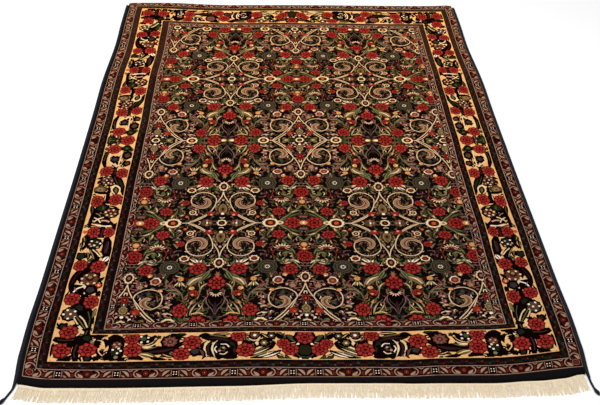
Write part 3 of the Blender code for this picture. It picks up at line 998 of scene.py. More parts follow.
# ---------------------------------------------------------------- the bands round the field
# A tan scroll guard on dark maroon next to the field, then a near-black band with tiny florets,
# knotted in one with the rest. The same pair lies outside the gold border.

SIDES_MIDDLE = (8, -5)  # where the borders' patterns are centred
INNER_DARK = (-529, 548, -883, 869)  # left, right, near, far: the gold border's inner edge
INNER_GUARD = (-502, 527, -867, 853)
LATER_LOTS = (("dusk", 40), ("umber", 430))  # dye, and mm past the rug's middle where its wool begins


def half_frame(outer, inner, hand):
    """The left or right half of the frame between two rectangles, split at the borders' centre line."""
    seam = SIDES_MIDDLE[0]
    side = 0 if hand < 0 else 1
    shape = [(seam, outer[2]), (outer[side], outer[2]), (outer[side], outer[3]), (seam, outer[3])]
    shape += [(seam, inner[3]), (inner[side], inner[3]), (inner[side], inner[2]), (seam, inner[2])]
    return shape if hand > 0 else shape[::-1]


def far_part(outer, inner, hand, start):
    """The far part of half a frame, from start on."""
    seam = SIDES_MIDDLE[0]
    side = 0 if hand < 0 else 1
    shape = [(outer[side], start), (outer[side], outer[3]), (seam, outer[3])]
    shape += [(seam, inner[3]), (inner[side], inner[3]), (inner[side], start)]
    return shape if hand > 0 else shape[::-1]


def later_lots(outer, inner):
    """The dark ground again in the lots of wool dyed later, each a little paler, towards the far end."""
    return [(dye, far_part(outer, inner, hand, start)) for dye, start in LATER_LOTS for hand in (-1, 1)]


def shrunk(box, by):
    """The rectangle with its sides moved inwards."""
    return (box[0] + by, box[1] - by, box[2] + by, box[3] - by)


def frame_line(box, width, dye):
    """A line all round, from the rectangle inwards, as two halves."""
    return [(dye, half_frame(box, shrunk(box, width), hand)) for hand in (-1, 1)]


def run_placement(start, end, across, inward):
    """Places a border chart on a straight run: its first axis from start to end, its second inwards."""
    (x0, y0), (x1, y1) = start, end
    length = math.hypot(x1 - x0, y1 - y0)
    along_x, along_y = (x1 - x0) / length, (y1 - y0) / length
    in_x, in_y = inward
    return lambda s, t: (
        x0 + along_x * s + in_x * t * across,
        y0 + along_y * s + in_y * t * across,
    )


GUARD_WIDTH = 27  # mm on the chart
GUARD_UNIT = 142  # mm of chart from one red rosette to the next

# Half a unit of the scroll guard, from a red rosette to a square of white dots.
guard_half = [
    *rings(0, 13.5, ("black", 9.5, 8, 0.2), ("rust", 7, 8, 0.25)), ("maroon", lobed(0, 13.5, 3.8, steps=8)),
    ("pink", lobed(0, 13.5, 1.3, steps=6)),
    ("black", stripe([(8, 23), (17, 24), (27, 20), (30, 13), (26, 5), (17, 3)], 5.4)),
    ("fawn", stripe([(7, 24), (17, 25), (26, 20), (29, 13), (25, 6), (17, 3), (9, 4)], 2.6)),
    ("fawn", blade(9, 6, 23, 15, 7, -2)), ("black", blade(10, 19, 21, 17, 4, 1)),
    ("rust", lobed(36, 10, 5.2, 4, 0.35)), ("maroon", lobed(36, 10, 2.2, steps=6)),
    ("fawn", stripe([(32, 24), (38, 20), (44, 24)], 2)), ("black", blade(38, 4, 62, 24, 12, 3)),
    ("fawn", blade(40, 5, 59, 22, 7, 3)), ("tan", blade(49, 4, 60, 10, 4.4)),
    ("black", [(62, 4), (71, 4), (71, 23), (62, 23)]), *dots([(67.6, 10.1), (67.6, 16.9)], 1.6, "ivory"),
    ("fawn", stripe([(62, 5), (62, 22)], 1.4)),
]


def guard_chart(outer, inner, across_units, along_units):
    """The scroll guard all round between two rectangles, mirrored about the middles of its four runs.

    A run's half needn't hold a whole number of units; the rest of one is left out at the middle.
    """
    chart = []
    left, right, near, far = ((a + b) / 2 for a, b in zip(outer, inner))
    middle_x, middle_y = SIDES_MIDDLE
    depths = [abs(a - b) for a, b in zip(inner, outer)]
    halves = [((x, near), (middle_x, near), (0, 1), depths[2], across_units) for x in (left, right)]
    halves += [((x, far), (middle_x, far), (0, -1), depths[3], across_units) for x in (left, right)]
    halves += [((left, y), (left, middle_y), (1, 0), depths[0], along_units) for y in (near, far)]
    halves += [((right, y), (right, middle_y), (-1, 0), depths[1], along_units) for y in (near, far)]
    for start, end, inward, depth, units in halves:
        length = math.hypot(end[0] - start[0], end[1] - start[1])
        pitch = length / units
        along = run_placement(start, end, depth / GUARD_WIDTH, inward)
        for unit in range(math.ceil(units)):
            for way, root in ((1, unit * pitch), (-1, (unit + 1) * pitch)):
                for colour_name, shape in guard_half:
                    part = [(root + way * s * pitch / GUARD_UNIT, t - GUARD_WIDTH / 2) for s, t in shape]
                    if sum(s for s, t in part) / len(part) < length:
                        chart.append((colour_name, [along(*place) for place in part]))
    for x in (left, right):
        for y in (near, far):
            chart += [("black", lobed(x, y, 12, 8, 0.2)), ("fawn", lobed(x, y, 10.5, 8, 0.2))]
            chart += [("maroon", lobed(x, y, 9, 8, 0.15)), ("rust", lobed(x, y, 6.5, 8, 0.25))]
    return chart


FLORET_PITCH = 19  # mm


def floret_chart(outer, width, seed):
    """Dim florets and leaves on a curling stem, all round a dark band."""
    picks = random.Random(seed)
    chart = []
    left, right, near, far = shrunk(outer, width / 2)
    runs = [
        ((left, near), (right, near), (0, 1)),
        ((right, near), (right, far), (-1, 0)),
        ((right, far), (left, far), (0, -1)),
        ((left, far), (left, near), (1, 0)),
    ]
    for start, end, inward in runs:
        length = math.hypot(end[0] - start[0], end[1] - start[1])
        count = round(length / FLORET_PITCH)
        pitch = length / count
        along = run_placement(start, end, 1.0, inward)
        for number in range(count):
            side = 1 if number % 2 else -1
            s, t = number * pitch, side * width * 0.13
            wave = [(s - pitch / 2, -t), (s, t), (s + pitch / 2, -t)]
            chart.append(("bottle", [along(*place) for place in stripe(wave, 2.0)]))
            kind = picks.choice(("maroon", "plum", "bottle", "maroon", "slate", "crimson"))
            heart = picks.choice(("mauve", "black", "rust", "black", "leaf"))
            chart.append((kind, [along(*place) for place in lobed(s, t, 5.6, 4, 0.3, 0.4, steps=12)]))
            chart.append((heart, [along(*place) for place in lobed(s, t, 1.6, steps=6)]))
            spot = picks.choice(("plum", "slate", "bottle", "maroon"))
            spot_leaf = blade(s + 2, -t * 1.6, s + pitch - 2, -t * 1.2, 4)
            chart.append((spot, [along(*place) for place in spot_leaf]))
    return chart


guard_pair = [("maroon", half_frame(INNER_GUARD, FIELD, hand)) for hand in (-1, 1)]
guard_pair += guard_chart(INNER_GUARD, FIELD, 3.5, 6)
guard_pair += frame_line(INNER_GUARD, 2.2, "fawn") + frame_line(shrunk(INNER_GUARD, 2.2), 1.6, "black")
guard_pair += frame_line(shrunk(INNER_GUARD, GUARD_WIDTH - 4.5), 1.4, "black")
guard_pair += frame_line(shrunk(INNER_GUARD, GUARD_WIDTH - 3.1), 1.8, "fawn")
inner_bands = later_lots(INNER_DARK, INNER_GUARD) + floret_chart(INNER_DARK, 20, 3) + guard_pair
inner_bands += frame_line(INNER_DARK, 1.4, "black")
for name, hand in (("inner_bands_left", -1), ("inner_bands_right", 1)):
    pile_pieces.append(knot_pile(name, half_frame(INNER_DARK, FIELD, hand), "night", inner_bands))


# ---------------------------------------------------------------- the gold border
# The main border: roses in twos and threes with dark leaves on weld gold. A quarter of it is
# charted, half a side with the corner and half an end, and mirrored.

GOLD_OUTER = (-627, 639, -978, 984)
SIDE_REACH, END_REACH, BORDER_DEPTH = 968, 535, 98  # mm of the charts: half side, half end, width

# Half a side. Columns: mm from the middle of the side towards the end, mm in from the outer edge.
GOLD_LEAVES = (
    ("black", "gold"), ("black", "olive"), ("bottle", "sage"), ("black", None),
    ("bottle", "leaf"), ("black", "cream"), ("black", None), ("plum", "tan"),
)
side_chart = [
    *undergrowth((0, SIDE_REACH, 5, 93), 22, 30, 14, GOLD_LEAVES, 8),
    ("black", lobed(0, 15, 31, 7, 0.25, 0, 0.72)), ("bottle", lobed(0, 18, 23, 7, 0.35, 0, 0.75)),
    *leaf(-20, 10, 20, 10, 9, 0, "leaf", None), *leaf(0, 4, 0, 36, 9, 0, "black", "sage"),
    *rings(48, 73, ("black", 19, 7, 0.2), ("bottle", 13, 7, 0.3), ("leaf", 6, 5, 0.3)),
    *dots([(69, 75)], 4, "cream"), ("cream", stripe([(78, 26), (104, 22), (130, 32), (148, 56)], 4.6)),
    ("cream", stripe([(64, 59), (100, 60), (150, 58)], 4.2)),
    ("cream", stripe([(102, 97), (122, 84), (146, 60)], 4.6)),
    ("black", lobed(88, 79, 27, 6, 0.15, 0, 0.68)), ("brown", stripe([(76, 84), (86, 72), (102, 80)], 4)),
    ("grey", lobed(90, 82, 9, 5, 0.3)),
    ("black", stripe([(58, 22, 6), (80, 11, 15), (112, 8, 17), (142, 14, 12), (164, 20, 3)])),
    ("grey", stripe([(70, 18), (90, 10), (120, 9)], 2.4)), ("black", lobed(111, 42, 24, 5, 0.25, 0, 0.7)),
    ("slate", lobed(111, 42, 11, 5, 0.3)), ("grey", lobed(109, 42, 4, 4, 0.3)),
    ("black", lobed(134, 83, 18, 5, 0.2, 0, 0.9)), ("brown", lobed(134, 85, 8, 5, 0.3)),
    ("black", stripe([(154, 54, 8), (180, 52, 14), (204, 54, 20)])),
    ("bottle", stripe([(162, 54, 4), (196, 54, 6)])), *leaf(224, 20, 244, 7, 13, 0, "plum", None),
    *rings(228, 38, ("black", 31, 9, 0.15), ("brown", 26, 9, 0.3), squash=0.85),
    ("plum", lobed(230, 38, 14, 6, 0.3)), *dots([(216, 26), (236, 28), (226, 51), (244, 51)], 3.2, "pink"),
    *dots([(208, 38), (224, 35), (238, 42), (248, 35)], 2.8, "ivory"),
    ("black", stripe([(196, 52, 14), (215, 66, 26), (242, 77, 28), (268, 89, 18), (289, 93, 12),
        (304, 95, 4)])), ("grey", stripe([(206, 56), (236, 68), (266, 82)], 2.6)),
    ("bottle", blade(216, 70, 272, 91, 10, 2)),
    *rings(274, 21, ("black", 23, 9, 0.15), ("olive", 19, 9, 0.2), ("tan", 12, 7, 0.35),
        ("brown", 5, 6, 0.2)), ("cream", blade(248, 64, 304, 76, 31)),
    ("black", blade(256, 66, 300, 75, 21)), ("olive", blade(264, 68, 292, 73, 9)),
    ("black", stripe([(282, 6, 6), (290, 26, 13), (290, 46, 12)])),
    ("black", stripe([(256, 46, 5), (274, 50, 9), (292, 48, 12), (318, 50, 13), (344, 50, 20)])),
    *rings(364, 40, ("black", 25, 6, 0.25), ("bottle", 18, 6, 0.35)),
    *leaf(352, 40, 382, 44, 7, 2, "leaf", None), *leaf(350, 6, 404, 14, 14, 4, "black", "grey"),
    ("black", stripe([(354, 58, 5), (358, 76, 7), (374, 94, 5)])),
    *rings(388, 68, ("black", 29, 9, 0.15), ("brown", 24, 9, 0.35), ("maroon", 12, 7, 0.3)),
    *dots([(374, 76), (398, 60), (402, 74), (384, 54)], 3.8, "cream"),
    *dots([(376, 62), (392, 84), (390, 70)], 3.6, "pink"),
    ("black", stripe([(376, 24, 12), (394, 28, 24), (410, 36, 36), (424, 50, 38), (436, 70, 26),
        (444, 88, 8)])), ("cream", stripe([(430, 26), (418, 36), (408, 52)], 4.6)),
    ("sage", stripe([(390, 26), (396, 36), (404, 42)], 3.4)),
    ("cream", stripe([(410, 24), (420, 38), (434, 46)], 4)),
    ("pink", stripe([(424, 46), (424, 60), (430, 72)], 6)),
    ("ivory", stripe([(442, 32), (449, 54), (447, 80)], 4)), *leaf(438, 92, 464, 86, 11, 0, "black", None),
    ("black", stripe([(396, 16, 8), (430, 16, 12), (458, 18, 8)])), ("flame", lobed(476, 9, 8, 5, 0.2)),
    ("black", stripe([(452, 58, 14), (476, 58, 15), (502, 58, 20)])),
    ("plum", stripe([(456, 58, 4), (498, 58, 7)])),
    ("black", stripe([(490, 18, 14), (508, 18, 26), (530, 18, 22), (554, 12, 8)])),
    *rings(528, 43, ("black", 28, 8, 0.15), ("bottle", 21, 8, 0.25), squash=0.9),
    *dots([(516, 34), (534, 44), (526, 60)], 3.6, "ivory"),
    *dots([(520, 50), (530, 30), (542, 54), (538, 36)], 3.6, "pink"),
    ("black", stripe([(498, 74, 14), (520, 79, 26), (537, 81, 26), (558, 83, 31), (578, 88, 22),
        (590, 92, 8)])), ("plum", stripe([(520, 80, 6), (542, 80, 12), (568, 82, 8)])),
    ("grey", stripe([(516, 82), (537, 84), (562, 78)], 2.2)),
    *leaf(496, 8, 522, 16, 13, 0, "bottle", "sage"), *leaf(520, 12, 548, 10, 10, 3, "black", "gold"),
    ("black", stripe([(542, 34, 12), (564, 48, 22), (584, 59, 22), (600, 62, 8)])),
    ("cream", stripe([(552, 42), (566, 56), (582, 68)], 3.4)),
    ("sage", stripe([(554, 34), (574, 46), (596, 54)], 3.4)),
    *rings(580, 14, ("black", 19, 5, 0.3), ("bottle", 12, 5, 0.3)),
    *leaf(562, 28, 598, 36, 11, 3, "black", "sage"), *leaf(580, 92, 606, 78, 15, 0, "ivory", "black"),
    ("black", stripe([(592, 56, 8), (616, 48, 18), (640, 42, 26), (654, 30, 30), (670, 22, 20)])),
    ("black", stripe([(628, 38, 16), (652, 20, 20), (682, 12, 18), (708, 14, 16), (732, 22, 6)])),
    ("maroon", stripe([(642, 28), (668, 15), (696, 12)], 3.4)),
    *rings(672, 57, ("black", 31, 11, 0.12), ("brown", 27, 11, 0.25)),
    ("maroon", lobed(668, 57, 14, 7, 0.35)), ("tan", lobed(664, 57, 7, 5, 0.3)),
    *dots([(686, 38), (689, 55), (686, 72), (670, 36), (656, 46), (656, 68)], 3.8, "cream"),
    ("black", stripe([(688, 14, 10), (702, 26, 28), (720, 40, 26), (732, 50, 10)])),
    ("ivory", stripe([(722, 22), (708, 30), (700, 46)], 4)),
    ("cream", stripe([(690, 20), (692, 38), (700, 50), (728, 52)], 4.2)),
    ("lilac", stripe([(704, 22), (718, 30)], 3)), ("flame", lobed(694, 85, 9, 7, 0.25)),
    *dots([(694, 85)], 3, "cream"), ("black", lobed(712, 67, 21, 5, 0.2)),
    ("slate", lobed(712, 66, 12, 5, 0.2)), *leaf(714, 92, 740, 86, 13, 0, "black", None),
    ("black", stripe([(730, 52, 12), (754, 50, 16), (776, 48, 28)])),
    ("black", stripe([(772, 26, 16), (782, 46, 34), (796, 66, 40), (812, 78, 32), (836, 86, 22)])),
    ("bottle", lobed(780, 47, 14, 6, 0.35)), ("black", lobed(802, 29, 28, 9, 0.12, 0, 0.92)),
    ("grey", lobed(802, 29, 23, 9, 0.3, 0, 0.9)), ("brown", lobed(802, 29, 12, 6, 0.3)),
    *dots([(788, 20), (792, 40), (812, 44), (818, 26), (803, 12), (802, 30)], 3.4, "ivory"),
    ("black", stripe([(780, 64, 8), (798, 75, 15), (822, 82, 17), (845, 84, 17), (873, 87, 10)])),
    ("leaf", stripe([(792, 74), (822, 84), (851, 84)], 3)), *leaf(778, 92, 816, 88, 12, 2, "olive", "sage"),
    ("black", stripe([(808, 50, 18), (822, 58, 30), (840, 70, 28), (864, 84, 8)])),
    ("cream", stripe([(808, 54), (822, 68), (848, 82)], 4)),
    ("olive", stripe([(812, 48), (828, 60), (852, 77)], 3.6)),
    ("cream", stripe([(816, 42), (834, 53), (854, 70)], 4)),
    *rings(847, 20, ("black", 17, 5, 0.3), ("bottle", 9, 5, 0.3)), ("black", lobed(848, 52, 13, 5, 0.3)),
    ("cream", stripe([(844, 58), (860, 68), (882, 58)], 4.2)),
    ("black", stripe([(855, 84, 14), (881, 84, 18), (905, 70, 14)])),
    ("leaf", stripe([(859, 84), (893, 78)], 3)),
    ("black", stripe([(889, 4, 14), (894, 22, 24), (892, 50, 24), (884, 84, 18)])),
    ("grey", stripe([(892, 14), (895, 34), (891, 56)], 2.2)), ("bottle", stripe([(885, 20), (886, 50)], 4)),
    *leaf(895, 70, 957, 66, 19, 3, "black", "grey"), *leaf(903, 6, 955, 5, 9, 0, "black", None),
    *rings(895, 82, ("black", 20, 6, 0.25), ("bottle", 13, 6, 0.35)),
]

SIDE_ROSES = (
    (0, 70, 30, 0.84), (53, 33, 27, 0.88), (176, 27, 27, 0.85), (187, 77, 27, 0.76),
    (331, 20, 29, 0.72), (324, 75, 29, 0.78), (476, 34, 26, 0.74), (476, 78, 24, 0.74),
    (618, 21, 24, 0.86), (622, 71, 26, 0.9), (748, 24, 24, 0.96), (757, 76, 26, 0.84),
)
for s, t, reach, squash in SIDE_ROSES:
    side_chart += rose(s, t, reach, 0.1 * s, squash)
side_chart += rose(866, 38, 25) + rose(929, 30, 26, 0.4)

# Half an end. Columns: mm from the middle of the end towards the corner, mm in from the outer edge.
end_chart = [
    *undergrowth((0, END_REACH, 5, 93), 22, 30, 14, GOLD_LEAVES, 15), ("black", lobed(0, 76, 31, 8, 0.1)),
    ("black", lobed(0, 14, 33, 7, 0.3, math.pi / 2, 0.5)), *leaf(24, 60, 50, 86, 24, 0, "black", "leaf"),
    *leaf(30, 72, 46, 88, 8, 0, "grey", None),
    *rings(0, 33, ("black", 24, 6, 0.15), ("bottle", 19, 6, 0.2)),
    ("grey", stripe([(-22, 22), (-14, 12), (0, 9), (14, 12), (22, 22)], 2.4)),
    ("crimson", lobed(0, 34, 4, steps=8)), *dots([(-17, 54), (17, 54), (-12, 3), (12, 3)], 3.4, "ivory"),
    ("black", stripe([(146, 14, 6), (128, 22, 26), (108, 36, 32), (88, 50, 30), (74, 60, 10)])),
    ("black", stripe([(136, 5, 4), (116, 7, 9), (92, 12, 14), (72, 22, 14), (60, 32, 6)])),
]

# The pale feathers of the leaf beside the middle fan: root, tip, dye and width.
FEATHERS = (
    (144, 24, 82, 62, "cream", 5.6), (142, 19, 82, 53, "olive", 5.0), (138, 14, 88, 40, "cream", 3.6),
    (132, 10, 84, 34, "sage", 4.6), (118, 9, 76, 28, "cream", 4.0), (106, 6, 62, 26, "ivory", 4.4),
)
for root_x, root_y, tip_x, tip_y, dye, wide in FEATHERS:
    end_chart.append((dye, blade(root_x, root_y, tip_x, tip_y, wide, 2)))
end_chart += [
    *rings(102, 57, ("black", 17, 7, 0.15), ("olive", 11, 6, 0.35), ("cream", 4, 5, 0.2)),
    *rings(84, 82, ("black", 17, 6, 0.3), ("grey", 9, 6, 0.3)), ("ivory", lobed(84, 82, 3, steps=6)),
    *leaf(54, 70, 76, 92, 14, 0, "black", None), *leaf(92, 74, 112, 92, 10, 0, "black", "gold"),
    ("black", lobed(126, 82, 19, 8, 0.25)), *rings(126, 84, ("brown", 13, 8, 0.4), ("ivory", 5, 5, 0.3)),
    ("cream", stripe([(112, 78), (118, 68), (130, 66), (140, 72)], 3.4)),
    ("cream", lobed(120, 56, 5, 4, 0.2)),
    ("black", stripe([(172, 8, 8), (178, 30, 24), (186, 52, 40), (196, 66, 40), (204, 74, 12)])),
    ("bottle", stripe([(176, 22, 6), (180, 50, 12), (190, 66, 8)])), ("black", lobed(208, 34, 36, 9, 0.25)),
    ("black", blade(196, 66, 246, 92, 18, -6)), ("bottle", lobed(208, 38, 24, 7, 0.3)),
    ("black", lobed(206, 38, 20, 7, 0.18)), *rings(205, 38, ("grey", 11, 6, 0.4), ("black", 5, 6, 0.2)),
    ("ivory", stripe([(189, 44), (196, 54), (210, 55)], 3)),
    ("ivory", stripe([(220, 48), (224, 38), (218, 26)], 3)),
    ("cream", stripe([(192, 28), (200, 20), (211, 22)], 2.8)), *dots([(202, 42), (212, 32)], 3.2, "pink"),
    *leaf(182, 62, 262, 78, 32, 6, "black", "plum"), *leaf(192, 76, 250, 88, 6, 4, "olive", None),
    *leaf(236, 90, 272, 80, 13, 3, "black", None), *leaf(184, 90, 232, 92, 10, 0, "black", "gold"),
]

# Crescents beside each other, each a shift of the first: mm along, dye and share of its width.
crescent = [(228, 68, 2), (238, 56, 10), (240, 36, 12), (232, 10, 3)]
CRESCENTS = (
    (-10, "cream", 0.4), (0, "black", 1.0), (1, "plum", 0.45), (9, "cream", 0.4), (17, "black", 0.6),
)
for shift, dye, share in CRESCENTS:
    end_chart.append((dye, stripe([(x + shift, y, wide * share) for x, y, wide in crescent])))
end_chart += [
    ("black", lobed(270, 30, 19, 5, 0.25)), ("slate", lobed(272, 32, 11, 5, 0.3)),
    ("black", stripe([(264, 42, 4), (253, 30, 11), (249, 14, 8), (254, 4, 2)])),
    ("brown", stripe([(262, 38, 2), (254, 28, 6), (251, 12, 3)])),
    *leaf(296, 92, 332, 88, 13, 0, "black", "bottle"),
    *rings(336, 66, ("black", 26, 9, 0.12), ("brown", 21, 9, 0.3), ("mauve", 18, 9, 0.5),
        ("maroon", 10, 8, 0.3), ("mauve", 6, 7, 0.5)),
    ("black", stripe([(408, 42, 14), (390, 38, 32), (360, 36, 30), (334, 40, 20), (312, 48, 5)])),
    ("black", stripe([(372, 88, 8), (384, 76, 14), (380, 62, 8)])), ("bottle", lobed(366, 82, 8, 5, 0.3)),
    ("plum", stripe([(384, 32, 4), (352, 34, 9), (326, 42, 3)])), ("cream", blade(406, 48, 368, 62, 6, 3)),
    *leaf(404, 54, 366, 78, 11, 5, "black", "gold"), ("olive", blade(404, 42, 360, 54, 5, 4)),
    ("cream", blade(404, 46, 376, 50, 4, 2)), *leaf(410, 26, 360, 6, 16, -4, "olive", "cream"),
    *leaf(384, 12, 336, 5, 10, 2, "black", None), *leaf(352, 24, 322, 12, 10, 2, "black", "gold"),
    ("black", lobed(402, 76, 20, 7, 0.25)), ("leaf", lobed(404, 78, 9, 6, 0.35)),
    *dots([(392, 82), (408, 66), (392, 68), (410, 86)], 3.2, "ivory"),
    ("black", stripe([(468, 4, 22), (470, 26, 40), (468, 50, 38), (472, 74, 42), (486, 92, 20)])),
    ("black", lobed(486, 18, 16, 6, 0.3)), ("black", stripe([(494, 92, 6), (520, 90, 11), (550, 90, 9)])),
    ("black", lobed(452, 8, 12, 5, 0.3)), ("brown", lobed(468, 58, 14, 8, 0.3)),
    ("bottle", lobed(468, 34, 15, 7, 0.3)), ("sage", lobed(466, 16, 6, 5, 0.3)),
    *dots([(462, 46), (476, 42), (464, 30), (456, 38)], 3.2, "ivory"),
    *dots([(462, 62), (474, 60), (468, 52)], 3, "pink"),
    ("black", stripe([(500, 76, 6), (512, 72, 12), (520, 56, 14), (514, 36, 10), (506, 22, 12),
        (512, 8, 8)])), ("black", lobed(518, 62, 12, 6, 0.3)), ("black", lobed(506, 30, 11, 5, 0.3)),
    ("cream", stripe([(500, 60), (506, 72), (522, 78), (544, 76)], 3.4)),
    ("gold", stripe([(500, 22), (510, 34), (512, 48)], 3)), ("black", lobed(516, 12, 10, 5, 0.3)),
    ("black", lobed(540, 13, 21, 6, 0.3)), ("gold", stripe([(546, 2), (550, 16)], 3)),
    ("bottle", lobed(536, 12, 8, 5, 0.3)),
    ("black", stripe([(564, 2, 14), (568, 30, 20), (566, 60, 18), (560, 88, 24)])),
    ("slate", stripe([(567, 14), (571, 34), (567, 60)], 3)), ("black", lobed(548, 80, 19, 6, 0.25)),
    ("bottle", lobed(546, 82, 11, 6, 0.3)), ("black", lobed(516, 86, 13, 6, 0.3)),
    ("black", lobed(584, 58, 12, 6, 0.3)), ("bottle", lobed(586, 10, 14, 6, 0.3)),
    ("black", stripe([(576, 22, 6), (588, 8, 16), (606, 4, 12)])), ("black", lobed(554, 66, 12, 6, 0.3)),
    ("black", stripe([(398, 6, 8), (414, 12, 14), (436, 10, 8)])),
    ("black", stripe([(296, 66, 6), (312, 56, 16), (324, 44, 10)])),
    ("black", stripe([(130, 62, 8), (142, 56, 14), (156, 64, 10)])), ("black", lobed(186, 12, 13, 6, 0.3)),
]

END_ROSES = (
    (0, 77, 24), (36, 35, 22), (53, 54, 18), (148, 33, 25), (167, 82, 20),
    (281, 63, 25), (306, 23, 23), (432, 80, 21), (427, 39, 25), (539, 42, 25),
)
for e, t, reach in END_ROSES:
    end_chart += rose(e, t, reach, 0.1 * e)


def stretched(limit, reach, corner_reach):
    """Stretches a chart's first axis to the border's real run, and its corner part to the corner's."""
    return lambda s: s * reach / limit if s < limit else reach + (s - limit) * corner_reach


def border_placement(horizontal, hand, way):
    """Places the side or end chart on one of the four corners: hand is left or right, way near or far."""
    middle_x, middle_y = SIDES_MIDDLE
    outer_x, inner_x = (GOLD_OUTER[0], INNER_DARK[0]) if hand < 0 else (GOLD_OUTER[1], INNER_DARK[1])
    outer_y, inner_y = (GOLD_OUTER[2], INNER_DARK[2]) if way < 0 else (GOLD_OUTER[3], INNER_DARK[3])
    across, along = abs(outer_x - inner_x) / BORDER_DEPTH, abs(outer_y - inner_y) / BORDER_DEPTH
    if horizontal:
        fit = stretched(END_REACH, abs(inner_x - middle_x), across)
        return lambda e, t: (middle_x + hand * fit(abs(e)) * (1 if e > 0 else -1), outer_y - way * t * along)
    inner_reach = SIDE_REACH - BORDER_DEPTH
    fit = stretched(inner_reach, abs(inner_y - middle_y), along)
    return lambda s, t: (outer_x - hand * t * across, middle_y + way * fit(abs(s)) * (1 if s > 0 else -1))


corners = [(hand, way) for hand in (-1, 1) for way in (-1, 1)]
gold_chart = []
for horizontal, chart in ((False, side_chart), (True, end_chart)):
    border_places = [border_placement(horizontal, *corner) for corner in corners]
    gold_chart += placed(rounded_to_knots(uncovered(chart)), border_places)
gold_chart += frame_line(GOLD_OUTER, 1.8, "gold") + frame_line(shrunk(INNER_DARK, -1.8), 1.8, "gold")
for name, hand in (("gold_border_left", -1), ("gold_border_right", 1)):
    pile_pieces.append(knot_pile(name, half_frame(GOLD_OUTER, INNER_DARK, hand), "gold", gold_chart))


# ---------------------------------------------------------------- the outer bands
# The second pair of bands and the plain blue-black edge, which is widest at the near end. The clipped
# pile rounds over at the rug's edge and stands as a dark wall.

OUTER_DARK = (-651, 660, -1002, 1005)
OUTER_GUARD = (-683, 690, -1033, 1041)
RUG_EDGE = (-PILE_HALF_WIDTH / MM, PILE_HALF_WIDTH / MM, -HALF_LENGTH / MM, HALF_LENGTH / MM)
RIM_STEPS = (0.9, 2.8, 6.0)  # mm in from the edge, where the rounded pile is stepped

outer_bands = [("night", half_frame(OUTER_DARK, GOLD_OUTER, hand)) for hand in (-1, 1)]
outer_bands += later_lots(OUTER_DARK, GOLD_OUTER) + floret_chart(OUTER_DARK, 20, 5)
outer_bands += frame_line(shrunk(GOLD_OUTER, -1.6), 1.6, "black")
outer_bands += [("maroon", half_frame(OUTER_GUARD, OUTER_DARK, hand)) for hand in (-1, 1)]
outer_bands += guard_chart(OUTER_GUARD, OUTER_DARK, 4.73, 7)
outer_bands += frame_line(OUTER_GUARD, 1.3, "fawn") + frame_line(shrunk(OUTER_GUARD, 1.3), 2.2, "black")
outer_bands += frame_line(shrunk(OUTER_DARK, -4.0), 1.6, "black")
outer_bands += frame_line(shrunk(OUTER_DARK, -2.4), 2.0, "fawn")
for name, hand in (("outer_bands_left", -1), ("outer_bands_right", 1)):
    rims = [half_frame(shrunk(RUG_EDGE, step), GOLD_OUTER, hand) for step in RIM_STEPS]
    pile_pieces.append(knot_pile(name, half_frame(RUG_EDGE, GOLD_OUTER, hand), "ink", outer_bands, rims))


# ---------------------------------------------------------------- the overcast sides
# A cord of warps along each side, wrapped tightly with dark goat hair. It runs on past the near
# corner as a loose tail that ends in a knot.

TAIL = 0.0055
KNOT_SIZE = 0.0085
# Columns: out, along, thickness, from the rug's near corner.
LEFT_TAIL = (
    (0.001, -0.006, 0.0072),
    (0.003, -0.018, TAIL),
    (0.008, -0.031, TAIL),
    (0.013, -0.043, TAIL),
    (0.017, -0.051, KNOT_SIZE),
    (0.020, -0.057, KNOT_SIZE),
    (0.022, -0.061, 0.0040),
)
RIGHT_TAIL = (
    (0.001, -0.006, 0.0072),
    (0.001, -0.018, TAIL),
    (0.002, -0.031, TAIL),
    (0.004, -0.044, TAIL),
    (0.006, -0.054, KNOT_SIZE),
    (0.009, -0.060, KNOT_SIZE),
    (0.011, -0.065, 0.0040),
)
CORD_WIDTH = 0.0115  # the cord is flatter than it is wide
WRAP_PITCH = 0.0019  # one turn of the wrapping yarn
WRAP_STEPS = 3  # sections to a turn
WRAP_SIDES = 12
WRAP_DEPTH = 0.055  # how deep the yarn's grooves are, as a share of the cord
FAR_END = 0.004  # how far the cords stop short of the pile's ends

# Goat hair: near black with a bluish cast, wiry, with a slight shine along each turn.
goat_hair, tree, output = new_material("goat_hair_wrapping")
place = add(tree, "ShaderNodeTexCoord").outputs["Object"]
strands = add(tree, "ShaderNodeTexNoise", {"Scale": 700.0, "Detail": 3.0}, {"Vector": place}).outputs["Fac"]
tone = between(tree, "#08080e", "#1b1c27", strands)
bump = add(tree, "ShaderNodeBump", {"Strength": 0.6, "Distance": 0.0003}, {"Height": strands})
finish_material(tree, output, {"Roughness": 0.85, "IOR": 1.55, "Specular IOR Level": 0.2}, tone, bump)


